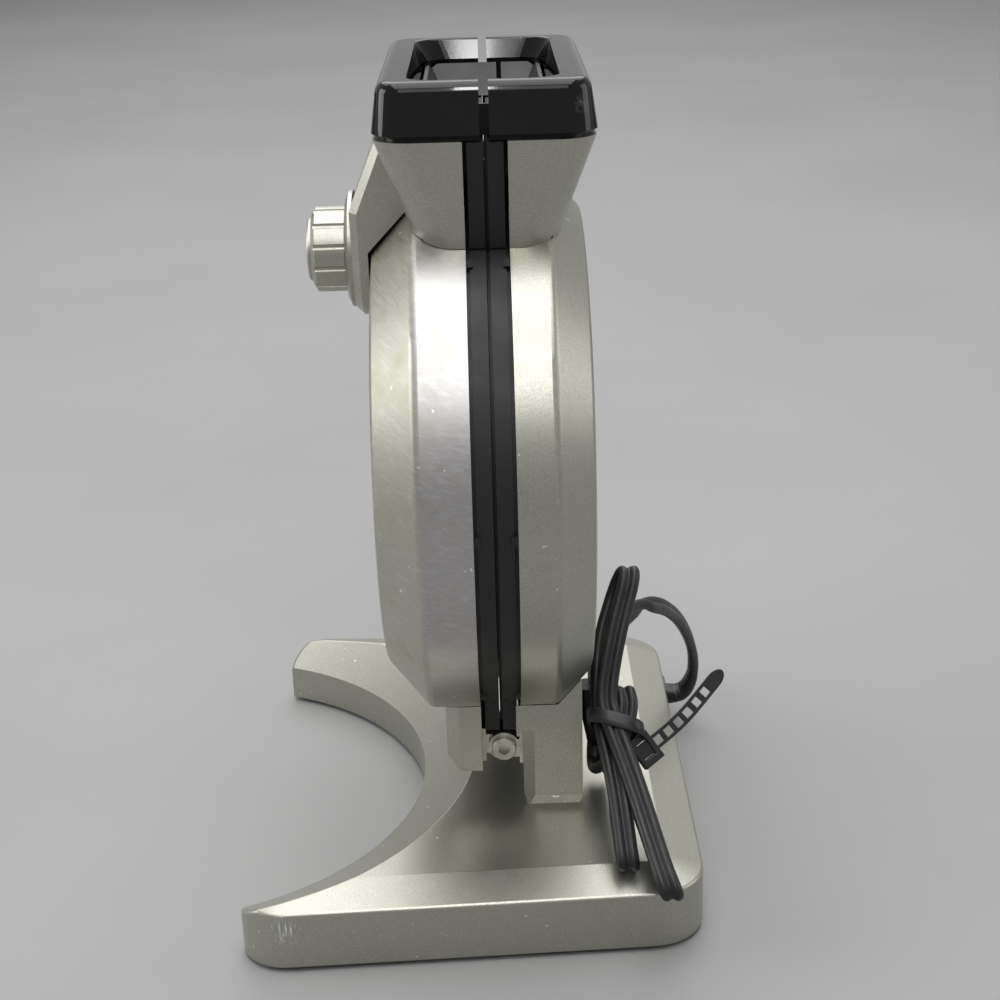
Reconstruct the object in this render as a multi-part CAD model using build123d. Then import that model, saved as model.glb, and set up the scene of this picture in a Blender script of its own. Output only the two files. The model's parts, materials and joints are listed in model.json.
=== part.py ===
from build123d import *
import math
import os

os.makedirs("parts", exist_ok=True)

# All sizes are in millimetres. +Z is up, the front of the waffle maker faces -Y.
# The origin is on the table, under the middle of the base.

# The base
BASE_DEPTH = 185.0
BASE_FRONT_WIDTH = 245.0
BASE_REAR_WIDTH = 227.0
BASE_SIDE_TOP = 26.0
BASE_PLATEAU = 31.0
BASE_BEVEL = 16.0
BASE_WALL = 3.0
BASE_REAR_CORNER = 22.0
BASE_TIP_CORNER = 18.5
DISH_SETBACK = 134.4
DISH_RADIUS = 112.5
DISH_RIM_Z = 18.5
DISH_RIDGE_RADIUS = 136.0
BASE_EDGE_RADIUS = 1.5
FOOT_HEIGHT = 2.0
FOOT_RADIUS = 7.0
FOOT_STEM_RADIUS = 2.5
FOOT_EDGE_Y = 18.5
FOOT_REAR_EDGE_X = 21.5
FOOT_FRONT_EDGE_X = 14.0
FOOT_STEM_LENGTH = 5.0
FOOT_CHAMFER = 0.5
BOTTOM_PLATE_THICKNESS = 2.0
BASE_BOSS_RADIUS = 4.0
PLATE_SCREW_REAR_X = 60.0
PLATE_SCREW_LEG_Y = -48.0
PLATE_SCREW_EDGE = 15.0
PLATE_SCREW_LENGTH = 9.0
PLATE_SCREW_HEAD = 1.5

# The column between the base and the rear half
COLUMN_HALF_WIDTH = 54.0
COLUMN_FRONT_GAP = 9.0
COLUMN_DEPTH = 24.5
COLUMN_WALL = 3.0
COLUMN_TOP = 94.0
COLUMN_EDGE_CHAMFER = 4.5
COLUMN_FOOT_HEIGHT = 4.8
COLUMN_FOOT_INSET = 1.2
COLUMN_SHOULDER_Z = 66.5
COLUMN_SHOULDER_GAP = 6.2
COLUMN_FLOOR = 4.0
COLUMN_BOSS_RADIUS = 4.5
COLUMN_BOSS_TOP = 24.0
COLUMN_SCREW_X = 40.5
COLUMN_SCREW_LENGTH = 14.0

# The round body, in two halves that meet at the parting plane
PARTING_Y = 13.0
DISC_Z = 175.4
DISC_RADIUS = 110.7
COVER_START = 8.2
FRONT_BAND_DEPTH = 28.3
FRONT_FACE_DEPTH = 45.3
FRONT_FACE_RADIUS = 90.7
FRONT_WALL = 1.6
REAR_BAND_DEPTH = 23.6
REAR_FACE_DEPTH = 37.6
REAR_FACE_RADIUS = 96.3
REAR_WALL = 2.5
COVER_EDGE_RADIUS = 4.0
SEAM = 0.3

# The neck that joins the round body to the handle
NECK_TOP_Z = 312.0
NECK_LOW_Z = 262.0
NECK_TOP_HALF_WIDTH = 66.3
NECK_LOW_HALF_WIDTH = 54.4
NECK_TOP_DEPTH = 41.0
NECK_LOW_DEPTH = 23.0
NECK_WALL = 2.2
NECK_CORNER = 14.0

# The handle ring round the pouring mouth
HANDLE_TOP_Z = 333.0
HANDLE_LOW_Z = 314.5
HANDLE_HALF_WIDTH = 67.8
HANDLE_HALF_DEPTH = 41.0
HANDLE_CORNER = 12.0
HANDLE_DRAFT = 8.0
HANDLE_EDGE_RADIUS = 4.5
HANDLE_GAP = 1.75
HANDLE_PLINTH_INSET = 3.5
HANDLE_SCREW_X = 36.4
HANDLE_SCREW_LENGTH = 11.0
MOUTH_TOP_HALF_DEPTH = 28.0
MOUTH_LOW_HALF_DEPTH = 24.5
MOUTH_TOP_HALF_WIDTH = 59.0
MOUTH_LOW_HALF_WIDTH = 55.5
MOUTH_CORNER = 11.0
MOUTH_SLOPE_DEPTH = 8.0
MOUTH_EDGE_RADIUS = 1.2

# The black rims round the waffle plates
RIM_NEAR = 0.7
RIM_FAR = 6.7
RIM_SETBACK = 1.5
RIM_RADIUS = DISC_RADIUS - RIM_SETBACK
RIM_SPIGOT_DEPTH = 4.5
RIM_SPIGOT_THICKNESS = 2.5
RIM_WEB_TOP = 311.5
RIM_CHIN_LOW_Z = 63.0
RIM_CHIN_HALF_WIDTH = 46.0
RIM_WEB_LAP = 2.0
LUG_LENGTH = 4.0
LUG_DEPTH = 1.2
LUG_SINK = 0.4
LUG_ANGLES = (56, 0, -50, 124, 180, 230)
LIP_INSET = 3.2
LIP_WIDTH = 2.0
LIP_GAP = 0.3

# The waffle plates
PLATE_EDGE_INSET = 17.8
PLATE_FLANGE_WIDTH = 4.4
PLATE_RADIUS = DISC_RADIUS - PLATE_EDGE_INSET
PLATE_BODY_RADIUS = PLATE_RADIUS - PLATE_FLANGE_WIDTH
PLATE_LIP_DEPTH = 0.2
PLATE_FLANGE_DEPTH = 4.5
PLATE_BACK_DEPTH = 12.5
CAVITY_WALL = 4.5
CAVITY_RADIUS = PLATE_BODY_RADIUS - CAVITY_WALL
CAVITY_DEPTH = 9.0
CAVITY_DRAFT = 1.5
PEG_PITCH = 19.0
PEG_SIZE = 13.0
PEG_TIP_DEPTH = 2.6
PEG_DRAFT = 12.0
DIVIDER_WIDTH = 3.0
DIVIDER_DEPTH = 2.6
PEG_EDGE_GAP = 1.0
SPOUT_HALF_WIDTH = 18.0
SPOUT_DEPTH = 8.0
SPOUT_WALL = 2.5
SPOUT_TOP_Z = 297.0
MOUTH_SIDE_ROOM = 12.0
MOUTH_DEPTH_ROOM = 9.0

# The pouring chute between the handle and the spout
CHUTE_DEPTH = 24.0
CHUTE_HALF_WIDTH = 52.0
CHUTE_CORNER = 1.0
COLLAR_TOP_Z = 323.5
COLLAR_WALL = 1.5
COLLAR_GAP = 1.0
COLLAR_LAP = 5.6
COLLAR_SLOT = 2.0

# The heating elements and their reflectors
ELEMENT_RING_RADIUS = 58.0
ELEMENT_TUBE_RADIUS = 3.2
ELEMENT_GAP_ANGLE = 26.0
ELEMENT_PIN_RADIUS = 1.5
ELEMENT_PIN_LENGTH = 14.0
ELEMENT_ROOM = 1.0
REFLECTOR_DEPTH = 24.0
REFLECTOR_SHEET = 0.8
PLATE_BOSS_RADIUS = 4.5
PLATE_BOSS_CIRCLE = 72.0
PLATE_BOSS_ANGLES = (45, 135, 225, 315)
PLATE_BOSS_HOLE = 8.0
REFLECTOR_SCREW_LENGTH = 7.0
RIM_SCREW_INSET = 11.2
RIM_SCREW_CIRCLE = DISC_RADIUS - RIM_SCREW_INSET
RIM_BOSS_RADIUS = 3.8
RIM_SCREW_ANGLES = (20, 160, 200, 340)
RIM_SCREW_LENGTH = 11.0

# The control housing, dial and knob on the front half
KNOB_Z = 259.0
HOUSING_ROUND_RADIUS = 26.5
HOUSING_TOP_HALF_WIDTH = 36.0
HOUSING_DEPTH = 53.0
HOUSING_SLOPE_Z = 279.5
HOUSING_TOP_DEPTH = 39.6
HOUSING_CHAMFER = 3.0
HOUSING_SHADOW_GAP = 1.2
HOUSING_WALL = 2.2
HOUSING_ROOT_DEPTH = 16.3
BEZEL_RADIUS = 23.2
BEZEL_FACE_RADIUS = 20.0
BEZEL_THICKNESS = 3.0
BEZEL_LIP = 1.6
BEZEL_BORE_GAP = 0.6
KNOB_GAP = 0.4
KNOB_RADIUS = 17.0
KNOB_LENGTH = 13.4
KNOB_CHAMFER = 1.6
KNOB_FLUTES = 12
KNOB_FLUTE_RADIUS = 1.3
KNOB_WALL = 2.4
KNOB_CAP_RADIUS = 12.6
KNOB_CAP_THICKNESS = 1.8
KNOB_CAP_CHAMFER = 0.6
KNOB_FACE_STEP = 2.0
FLUTE_SETBACK = 0.3
SHAFT_RADIUS = 3.0
SHAFT_CLEARANCE = 0.05
SHAFT_END_GAP = 0.3
SHAFT_TIP = 0.5
THERMOSTAT_WIDTH = 30.0
THERMOSTAT_HEIGHT = 22.0
THERMOSTAT_DEPTH = 13.0
THERMOSTAT_FLOOR = 3.0
CONTROL_HOLE_RADIUS = 13.2
CONTROL_HOLE_DROP = 6.0
LENS_RADIUS = 2.5
LENS_SPACING = 22.0
LENS_PROUD = 0.0
LENS_TAIL = 3.0
LENS_EDGE_RADIUS = 0.5
LENS_HEIGHT_SHARE = 0.42
BOARD_THICKNESS = 1.6
BOARD_WIDTH = 44.0
BOARD_HEIGHT = 10.0

# The hinge between the column and the front half
PIN_Y = 0.9
PIN_Z = 55.6
PIN_RADIUS = 3.0
PIN_HEAD_RADIUS = 5.2
PIN_HEAD_THICKNESS = 3.0
PIN_HEAD_X = 50.0
PIN_SOCKET = 4.4
PIN_SOCKET_DEPTH = 2.0
PIN_HEAD_CHAMFER = 0.5
PIN_CLEARANCE = 0.05
BUSH_WALL = 1.0
EAR_RADIUS = 6.4
EAR_THICKNESS = 2.4
KNUCKLE_RADIUS = 5.5
KNUCKLE_LENGTH = 14.0
KNUCKLE_GAP = 0.3
HINGE_SHEET = 1.6
HINGE_PLATE_LOW_Z = 47.5
HINGE_PLATE_TOP_Z = 62.7
EAR_WEB_BELOW = 5.1
EAR_WEB_ABOVE = 3.2
KNUCKLE_WEB = 4.4
ARM_HALF_WIDTH = 50.0
ARM_FRONT_DEPTH = 23.0
ARM_BACK_DEPTH = 8.3
ARM_LOW_Z = 46.0
ARM_TOP_Z = 84.0
ARM_CHAMFER = 5.5
ARM_WALL = 2.5

# Screws
SCREW_RADIUS = 1.6
SCREW_HEAD_RADIUS = 3.2
SCREW_HEAD_HEIGHT = 2.0
SCREW_CLEARANCE = 0.1
SCREW_TIP_ROOM = 1.0
RECESS_REACH = 1.9
RECESS_WIDTH = 0.9
RECESS_DEPTH = 1.1

# How far a cutting tool reaches past the face it cuts
CUT = 1.0

# The mains lead: a flat twin cord, wound into a tied hank behind the column
CORD_TUBE_DIAMETER = 6.4
LEAD_DIAMETER = 6.0
LEAD_HOLE_RADIUS = 6.0

# The gland where the lead leaves the base
GLAND_X = -72.0
GLAND_Z = 15.0
GLAND_WIDTH = 15.0
GLAND_HEIGHT = 11.0
GLAND_FLANGE = 2.0
GLAND_COLLAR = 1.5
GLAND_NECK_WIDTH = 12.0
GLAND_NECK_HEIGHT = 8.0
GLAND_CLEARANCE = 0.1
GLAND_NOSE = 5.0
GLAND_NOSE_WIDTH = 11.0
GLAND_NOSE_HEIGHT = 7.5
GLAND_NOSE_CORNER = 2.0
GLAND_NOSE_DRAFT = 5.0

# The route of the lead, from the gland up and over into the back of the hank
CORD_POINTS = [
    (GLAND_X, BASE_DEPTH / 2 + GLAND_NOSE, GLAND_Z),
    (GLAND_X, BASE_DEPTH / 2 + GLAND_NOSE + 6.0, GLAND_Z),
    (-71.3, 108.0, 19.5),
    (-69.0, 109.6, 27.0),
    (-64.0, 108.6, 37.0),
    (-56.0, 106.0, 49.5),
    (-44.0, 101.3, 63.5),
    (-29.0, 94.5, 78.0),
    (-11.0, 85.5, 92.0),
    (6.0, 75.5, 100.0),
    (20.0, 67.5, 103.0),
    (31.0, 62.5, 102.0),
]

# The hank: places along its middle line, each with the hank's width and thickness there
HANK_MAIN = [
    ((26.0, 65.9, 124.3), 9.5, 9.0),
    ((30.0, 63.8, 114.0), 11.5, 17.0),
    ((38.0, 60.6, 99.3), 12.5, 19.0),
    ((52.0, 58.8, 74.1), 15.5, 21.0),
    ((80.0, 64.3, 53.7), 13.0, 20.0),
    ((112.0, 73.8, 35.8), 11.0, 15.0),
    ((122.5, 77.2, 30.8), 10.0, 9.0),
]
HANK_BRANCH = [
    ((52.0, 57.8, 74.1), 12.0, 18.0),
    ((82.0, 58.6, 52.0), 11.0, 15.0),
    ((101.0, 60.2, 38.5), 10.0, 11.0),
    ((107.0, 60.9, 34.5), 9.5, 7.0),
]
HANK_FACING = (0.93, 0.0, 0.37)
HANK_CORNER = 3.0

# The strap that ties the hank a little below its widest place
TIE_SLIP = 4.0
TIE_TILT = -34.0
TIE_WIDTH = 6.0
TIE_SHEET = 1.4
TIE_INNER_WIDTH = 20.5
TIE_INNER_THICKNESS = 24.5
TIE_CORNER = 4.2
TIE_BUCKLE = (4.0, 7.0, 9.0)
TIE_BUCKLE_SHIFT = 2.0
TIE_TAIL_END = (42.0, 105.5, 85.0)
TIE_TIP_RADIUS = 2.4
TIE_HOLES = 6
TIE_HOLE = 3.2
TIE_HOLE_START = 5.7
TIE_HOLE_PITCH = 5.6

# The plug, which stands behind the column on a short loop of the lead
PLUG_FACE = (20.0, 54.3, 69.6)
PLUG_TILT = -15.0
PLUG_WIDTH = 24.0
PLUG_THICKNESS = 13.0
PLUG_LENGTH = 26.0
PLUG_CORNER = 4.0
PLUG_STRAIGHT = 14.0
PLUG_TAIL_WIDTH = 11.4
PLUG_TAIL_THICKNESS = 8.4
PLUG_TAIL_CORNER = 2.5
PLUG_LEAD_START = 6.2
BLADE_GAP = 12.7
BLADE_LENGTH = 16.0
BLADE_WIDTH = 6.3
BLADE_THICKNESS = 1.5
BLADE_ROOT = 4.0
BLADE_TIP_CHAMFER = 0.5

# The route of that loop, from inside the hank to just below the plug
PLUG_CORD_POINTS = [
    (65.5, 60.6, 61.0),
    (59.0, 59.2, 52.0),
    (50.6, 57.3, 44.0),
    (42.0, 55.6, 37.2),
    (34.0, 54.6, 35.4),
]

# The route of the lead inside the base, as steps from the gland's inner end and from the column
INNER_LEAD_STEPS = [(0.0, 0.0, 0.0), (0.0, -12.0, 0.0), (9.0, -30.0, -2.0), (31.0, -46.0, -3.0)]
INNER_LEAD_TURN = [(-16.0, 1.0, -3.0), (0.0, 0.0, 4.0)]

# The terminal block in the column
TERMINAL_HALF_WIDTH = 18.0
TERMINAL_HALF_DEPTH = 7.0
TERMINAL_HEIGHT = 14.0
TERMINAL_SCREW_X = 9.0
TERMINAL_SCREW_RADIUS = 2.2
TERMINAL_SCREW_FLOOR = 4.0
TERMINAL_LEAD_DEPTH = 7.0


def parting(depth, side):
    """The Y of a plane at a depth from the parting plane, side -1 front or 1 rear."""
    return PARTING_Y + side * depth


def blend(low, high, share):
    return low + (high - low) * share


def turned(points, side, rounded=(), radius=0.0):
    """Turn an outline of (radius, depth) points about the round body's axis."""
    outline = make_face(Polyline(*[(r, side * d) for r, d in points], close=True))
    if rounded:
        corners = [Vector(r, side * d) for r, d in rounded]
        near = [v for v in outline.vertices() if min((Vector(v) - c).length for c in corners) < 0.01]
        outline = fillet(near, radius)
    return Pos(0, PARTING_Y, DISC_Z) * revolve(outline, axis=Axis.Y)


def rod_y(radius, near, far, x, z, side):
    """A rod along Y between two depths from the parting plane."""
    length = far - near
    middle = parting((near + far) / 2, side)
    return Pos(x, middle, z) * Rot(90, 0, 0) * Cylinder(radius, length)


def screw_bore(near, far, x, z, side):
    return rod_y(SCREW_RADIUS + SCREW_CLEARANCE, near, far, x, z, side)


def rod_x(radius, low, high, y, z):
    return Pos((low + high) / 2, y, z) * Rot(0, 90, 0) * Cylinder(radius, high - low)


def rod_z(radius, low, high, x, y):
    return Pos(x, y, (low + high) / 2) * Cylinder(radius, high - low)


def block(x_range, y_range, z_range):
    """A box between two corners."""
    spans = [sorted(pair) for pair in (x_range, y_range, z_range)]
    middle = [(low + high) / 2 for low, high in spans]
    size = [high - low for low, high in spans]
    return Pos(*middle) * Box(*size)


def depth_block(half_width, near, far, z_low, z_high, side):
    """A box, symmetrical in X, between two depths from the parting plane."""
    ys = (parting(near, side), parting(far, side))
    return block((-half_width, half_width), ys, (z_low, z_high))


def screw(length, head):
    """A cross-recess screw along Z: its head is above the origin, its shank below it."""
    body = rod_z(SCREW_RADIUS, -length, 0, 0, 0) + rod_z(SCREW_HEAD_RADIUS, 0, head, 0, 0)
    for x, y in ((RECESS_REACH, RECESS_WIDTH / 2), (RECESS_WIDTH / 2, RECESS_REACH)):
        body -= block((-x, x), (-y, y), (head - RECESS_DEPTH, head + CUT))
    return body


def screws_up(length, head, low, places):
    """Screws that point up, each with the underside of its head at one level."""
    turn = Rot(180, 0, 0)
    return Compound(children=[Pos(x, y, low) * turn * screw(length, head) for x, y in places])


def screw_hole(low, high, x, y):
    return rod_z(SCREW_RADIUS + SCREW_CLEARANCE, low, high, x, y)


def on_circle(radius, angles):
    """The (x, z) places on a circle about the round body's axis."""
    turns = [math.radians(a) for a in angles]
    return [(radius * math.cos(t), DISC_Z + radius * math.sin(t)) for t in turns]


# The base

def base_outline(inset=0.0):
    """The plan of the base before its front is cut out."""
    half_depth = BASE_DEPTH / 2
    corners = [
        (-BASE_FRONT_WIDTH / 2, -half_depth),
        (BASE_FRONT_WIDTH / 2, -half_depth),
        (BASE_REAR_WIDTH / 2, half_depth),
        (-BASE_REAR_WIDTH / 2, half_depth),
    ]
    face = make_face(Polyline(*corners, close=True))
    face = fillet(face.vertices().group_by(Axis.Y)[0], BASE_TIP_CORNER)
    face = fillet(face.vertices().group_by(Axis.Y)[-1], BASE_REAR_CORNER)
    if inset:
        face = offset(face, amount=-inset)
    return face


def dish(grow, low):
    """What the round front of the base leaves free: a cylinder, then a shallow cone."""
    slope = (BASE_PLATEAU - DISH_RIM_Z) / (DISH_RIDGE_RADIUS - DISH_RADIUS)
    reach = DISH_RIDGE_RADIUS + 3 * BASE_BEVEL
    wall = DISH_RADIUS + grow
    rim = DISH_RIM_Z - grow
    top = rim + slope * (reach - wall)
    points = [(0, low), (wall, low), (wall, rim), (reach, top), (0, top)]
    outline = make_face(Polyline(*[(r, 0, z) for r, z in points], close=True))
    return Pos(0, -DISH_SETBACK, 0) * revolve(outline, axis=Axis.Z)


def plan_block(inset, low, high):
    return Pos(0, 0, low) * extrude(base_outline(inset), high - low)


def column_plan(inset, low, high):
    front = parting(COLUMN_FRONT_GAP, 1) + inset
    back = parting(COLUMN_FRONT_GAP, 1) + COLUMN_DEPTH - inset
    half = COLUMN_HALF_WIDTH - inset
    return block((-half, half), (front, back), (low, high))


def column_middle():
    return parting(COLUMN_FRONT_GAP, 1) + COLUMN_DEPTH / 2


def column_screw_places():
    return [(-COLUMN_SCREW_X, column_middle()), (COLUMN_SCREW_X, column_middle())]


def plate_screw_places():
    """Where screws hold the bottom plate up into the base."""
    rear = BASE_DEPTH / 2 - PLATE_SCREW_EDGE
    leg_x = BASE_FRONT_WIDTH / 2 - PLATE_SCREW_EDGE
    backs = [(-PLATE_SCREW_REAR_X, rear), (PLATE_SCREW_REAR_X, rear)]
    return backs + [(-leg_x, PLATE_SCREW_LEG_Y), (leg_x, PLATE_SCREW_LEG_Y)]


def foot_places():
    y = BASE_DEPTH / 2 - FOOT_EDGE_Y
    rear_x = BASE_REAR_WIDTH / 2 - FOOT_REAR_EDGE_X
    front_x = BASE_FRONT_WIDTH / 2 - FOOT_FRONT_EDGE_X
    return [(-rear_x, y), (rear_x, y), (-front_x, -y), (front_x, -y)]


def base_top_edges(outer):
    """The edges round the base's top and round its plateau."""
    levels = (BASE_SIDE_TOP, BASE_PLATEAU)
    return [e for e in outer.edges() if any(abs(v.Z - z) < 0.01 for z in levels for v in e.vertices())]


def make_base_shell():
    low = FOOT_HEIGHT
    side = plan_block(0, low, BASE_SIDE_TOP)
    edge = Pos(0, 0, BASE_SIDE_TOP) * base_outline()
    plateau = Pos(0, 0, BASE_PLATEAU) * base_outline(BASE_BEVEL)
    outer = side + loft([edge, plateau], ruled=True) - dish(0, low - CUT)
    outer = fillet(base_top_edges(outer), BASE_EDGE_RADIUS)
    hollow = plan_block(BASE_WALL, low, BASE_SIDE_TOP - BASE_WALL)
    hollow += plan_block(BASE_BEVEL, low, BASE_PLATEAU - BASE_WALL)
    hollow -= dish(BASE_WALL, low - CUT)
    shell = outer - hollow
    plate_top = FOOT_HEIGHT + BOTTOM_PLATE_THICKNESS
    for x, y in plate_screw_places():
        boss = rod_z(BASE_BOSS_RADIUS, plate_top, BASE_SIDE_TOP - BASE_WALL / 2, x, y)
        shell += boss - dish(BASE_WALL / 2, low - CUT)
        shell -= screw_hole(plate_top - CUT, low + PLATE_SCREW_LENGTH + SCREW_TIP_ROOM, x, y)
    roof_low = BASE_PLATEAU - BASE_WALL - CUT
    for x, y in column_screw_places():
        shell -= screw_hole(roof_low, BASE_PLATEAU + CUT, x, y)
    shell -= rod_z(LEAD_HOLE_RADIUS, roof_low, BASE_PLATEAU + CUT, 0, column_middle())
    shell -= gland_neck(GLAND_CLEARANCE)
    return shell


def make_bottom_plate():
    low = FOOT_HEIGHT
    plate = plan_block(BASE_WALL + SEAM, low, low + BOTTOM_PLATE_THICKNESS)
    plate -= dish(BASE_WALL + SEAM, low - CUT)
    high = low + BOTTOM_PLATE_THICKNESS + CUT
    for x, y in plate_screw_places():
        plate -= screw_hole(low - CUT, high, x, y)
    for x, y in foot_places():
        plate -= rod_z(FOOT_STEM_RADIUS, low - CUT, high, x, y)
    return plate


def make_feet():
    feet = []
    for x, y in foot_places():
        pad = rod_z(FOOT_RADIUS, 0, FOOT_HEIGHT, x, y)
        pad = chamfer(pad.edges().group_by(Axis.Z)[0], FOOT_CHAMFER)
        stem = rod_z(FOOT_STEM_RADIUS - SCREW_CLEARANCE, FOOT_HEIGHT, FOOT_HEIGHT + FOOT_STEM_LENGTH, x, y)
        feet.append(pad + stem)
    return Compound(children=feet)


def make_plate_screws():
    return screws_up(PLATE_SCREW_LENGTH, PLATE_SCREW_HEAD, FOOT_HEIGHT, plate_screw_places())


# The column

def cover_sizes(side):
    """The depth of the band, the depth and radius of the flat face, and the wall."""
    if side < 0:
        return FRONT_BAND_DEPTH, FRONT_FACE_DEPTH, FRONT_FACE_RADIUS, FRONT_WALL
    return REAR_BAND_DEPTH, REAR_FACE_DEPTH, REAR_FACE_RADIUS, REAR_WALL


def disc_solid(side, grow, near=0.0):
    """The outer form of one half of the round body."""
    band, face, face_radius, wall = cover_sizes(side)
    radius = DISC_RADIUS + grow
    top = face + grow
    return turned([(0, near), (radius, near), (radius, band), (face_radius + grow, top), (0, top)], side)


def make_column():
    front = parting(COLUMN_FRONT_GAP, 1)
    foot_top = BASE_PLATEAU + COLUMN_FOOT_HEIGHT
    outer = column_plan(0, foot_top, COLUMN_TOP)
    foot = column_plan(COLUMN_FOOT_INSET, BASE_PLATEAU, foot_top).faces().sort_by(Axis.Z)[0]
    outer += loft([foot, outer.faces().sort_by(Axis.Z)[0]], ruled=True)
    half = COLUMN_HALF_WIDTH
    shoulder = (parting(COLUMN_SHOULDER_GAP, 1), front + CUT)
    for sign in (-1, 1):
        span = (sign * (RIM_CHIN_HALF_WIDTH + 2 * SEAM), sign * half)
        outer += block(span, shoulder, (COLUMN_SHOULDER_Z, COLUMN_TOP))
        corner = [(sign * half, front), (sign * (half - COLUMN_EDGE_CHAMFER / 2), front)]
        corner.append((sign * half, front + COLUMN_EDGE_CHAMFER))
        wedge = extrude(make_face(Polyline(*corner, close=True)), COLUMN_SHOULDER_Z - BASE_PLATEAU)
        outer -= Pos(0, 0, BASE_PLATEAU) * wedge
    column = outer - column_plan(COLUMN_WALL, BASE_PLATEAU + COLUMN_FLOOR, COLUMN_TOP)
    low = BASE_PLATEAU - CUT
    for x, y in column_screw_places():
        column += rod_z(COLUMN_BOSS_RADIUS, BASE_PLATEAU + CUT, BASE_PLATEAU + COLUMN_BOSS_TOP, x, y)
        column -= screw_hole(low, BASE_PLATEAU + COLUMN_SCREW_LENGTH, x, y)
    column -= rod_z(LEAD_HOLE_RADIUS, low, BASE_PLATEAU + COLUMN_FLOOR + CUT, 0, column_middle())
    column -= disc_solid(1, SEAM)
    return column


def make_column_screws():
    low = BASE_PLATEAU - BASE_WALL
    return screws_up(COLUMN_SCREW_LENGTH, SCREW_HEAD_HEIGHT, low, column_screw_places())


# The covers and necks

def neck_section(side, z, inset, near):
    share = (z - NECK_LOW_Z) / (NECK_TOP_Z - NECK_LOW_Z)
    half = blend(NECK_LOW_HALF_WIDTH, NECK_TOP_HALF_WIDTH, share) - inset
    depth = blend(NECK_LOW_DEPTH, NECK_TOP_DEPTH, share) - inset
    ends = [(-half, near), (half, near), (half, depth), (-half, depth)]
    face = make_face(Polyline(*[(x, side * d) for x, d in ends], close=True))
    outer = [v for v in face.vertices() if abs(abs(v.Y) - depth) < 0.01]
    face = fillet(outer, NECK_CORNER - inset)
    return Pos(0, PARTING_Y, z) * face


def neck_block(side, inset, low, high, near=COVER_START):
    sections = [neck_section(side, low, inset, near), neck_section(side, high, inset, near)]
    return loft(sections, ruled=True)


def neck_shell(side):
    outer = neck_block(side, 0, NECK_LOW_Z, NECK_TOP_Z)
    inner = neck_block(side, NECK_WALL, NECK_LOW_Z - CUT, NECK_TOP_Z - NECK_WALL, COVER_START - CUT)
    shell = outer - inner
    reach = CHUTE_DEPTH + SEAM
    shell -= depth_block(CHUTE_HALF_WIDTH + SEAM, 0, reach, NECK_LOW_Z, NECK_TOP_Z + CUT, side)
    for x, y in handle_screw_places(side):
        shell -= screw_hole(NECK_TOP_Z - NECK_WALL - CUT, NECK_TOP_Z + CUT, x, y)
    return shell


def handle_screw_places(side):
    depth = (CHUTE_DEPTH + NECK_TOP_DEPTH - NECK_WALL) / 2
    return [(-HANDLE_SCREW_X, parting(depth, side)), (HANDLE_SCREW_X, parting(depth, side))]


def cover_shell(side):
    """The hollow round cover of one half, with bosses for the rim's screws."""
    band, face, face_radius, wall = cover_sizes(side)
    inner_radius = DISC_RADIUS - wall
    points = [
        (0, face),
        (face_radius, face),
        (DISC_RADIUS, band),
        (DISC_RADIUS, COVER_START),
        (inner_radius, COVER_START),
        (inner_radius, band - wall / 2),
        (face_radius - wall / 2, face - wall),
        (0, face - wall),
    ]
    shell = turned(points, side, [points[1], points[2]], COVER_EDGE_RADIUS)
    inside = disc_solid(side, -wall / 2)
    for x, z in on_circle(RIM_SCREW_CIRCLE, RIM_SCREW_ANGLES):
        boss = rod_y(RIM_BOSS_RADIUS, RIM_FAR, face, x, z, side) & inside
        tip = RIM_NEAR + SCREW_HEAD_HEIGHT + RIM_SCREW_LENGTH
        shell = shell + boss - screw_bore(0, tip + SCREW_TIP_ROOM, x, z, side)
    return shell


def mouth_cut(side):
    """The way for the spout and the leads between the round body and the neck."""
    reach = SPOUT_DEPTH + SPOUT_WALL + MOUTH_DEPTH_ROOM
    half = SPOUT_HALF_WIDTH + SPOUT_WALL + MOUTH_SIDE_ROOM
    return depth_block(half, 0, reach, NECK_LOW_Z, DISC_Z + DISC_RADIUS + CUT, side)


def control_hole(radius):
    """The way through the front cover for the thermostat's leads."""
    return rod_y(radius, FRONT_BAND_DEPTH, FRONT_FACE_DEPTH + CUT, 0, KNOB_Z - CONTROL_HOLE_DROP, -1)


def make_front_cover():
    return cover_shell(-1) - mouth_cut(-1) - control_hole(CONTROL_HOLE_RADIUS)


def make_rear_cover():
    radius = DISC_RADIUS - REAR_WALL
    inside = turned([(0, 0), (radius, 0), (radius, REAR_FACE_DEPTH), (0, REAR_FACE_DEPTH)], 1)
    return cover_shell(1) + (neck_shell(1) - inside) - mouth_cut(1)


def make_front_neck():
    return neck_shell(-1) - disc_solid(-1, SEAM)


# The rims

def web_outline(half_low, half_high, low, high):
    corners = [(-half_low, low), (half_low, low), (half_high, high), (-half_high, high)]
    return make_face(Polyline(*corners, close=True))


def upright(face, near, far, side):
    """Extrude an outline drawn in X and Z between two depths from the parting plane."""
    middle = extrude(Plane.XZ * face, (far - near) / 2, both=True)
    return Pos(0, parting((near + far) / 2, side), 0) * middle


def neck_half_width(z):
    share = (z - NECK_LOW_Z) / (NECK_TOP_Z - NECK_LOW_Z)
    return blend(NECK_LOW_HALF_WIDTH, NECK_TOP_HALF_WIDTH, share)


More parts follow.
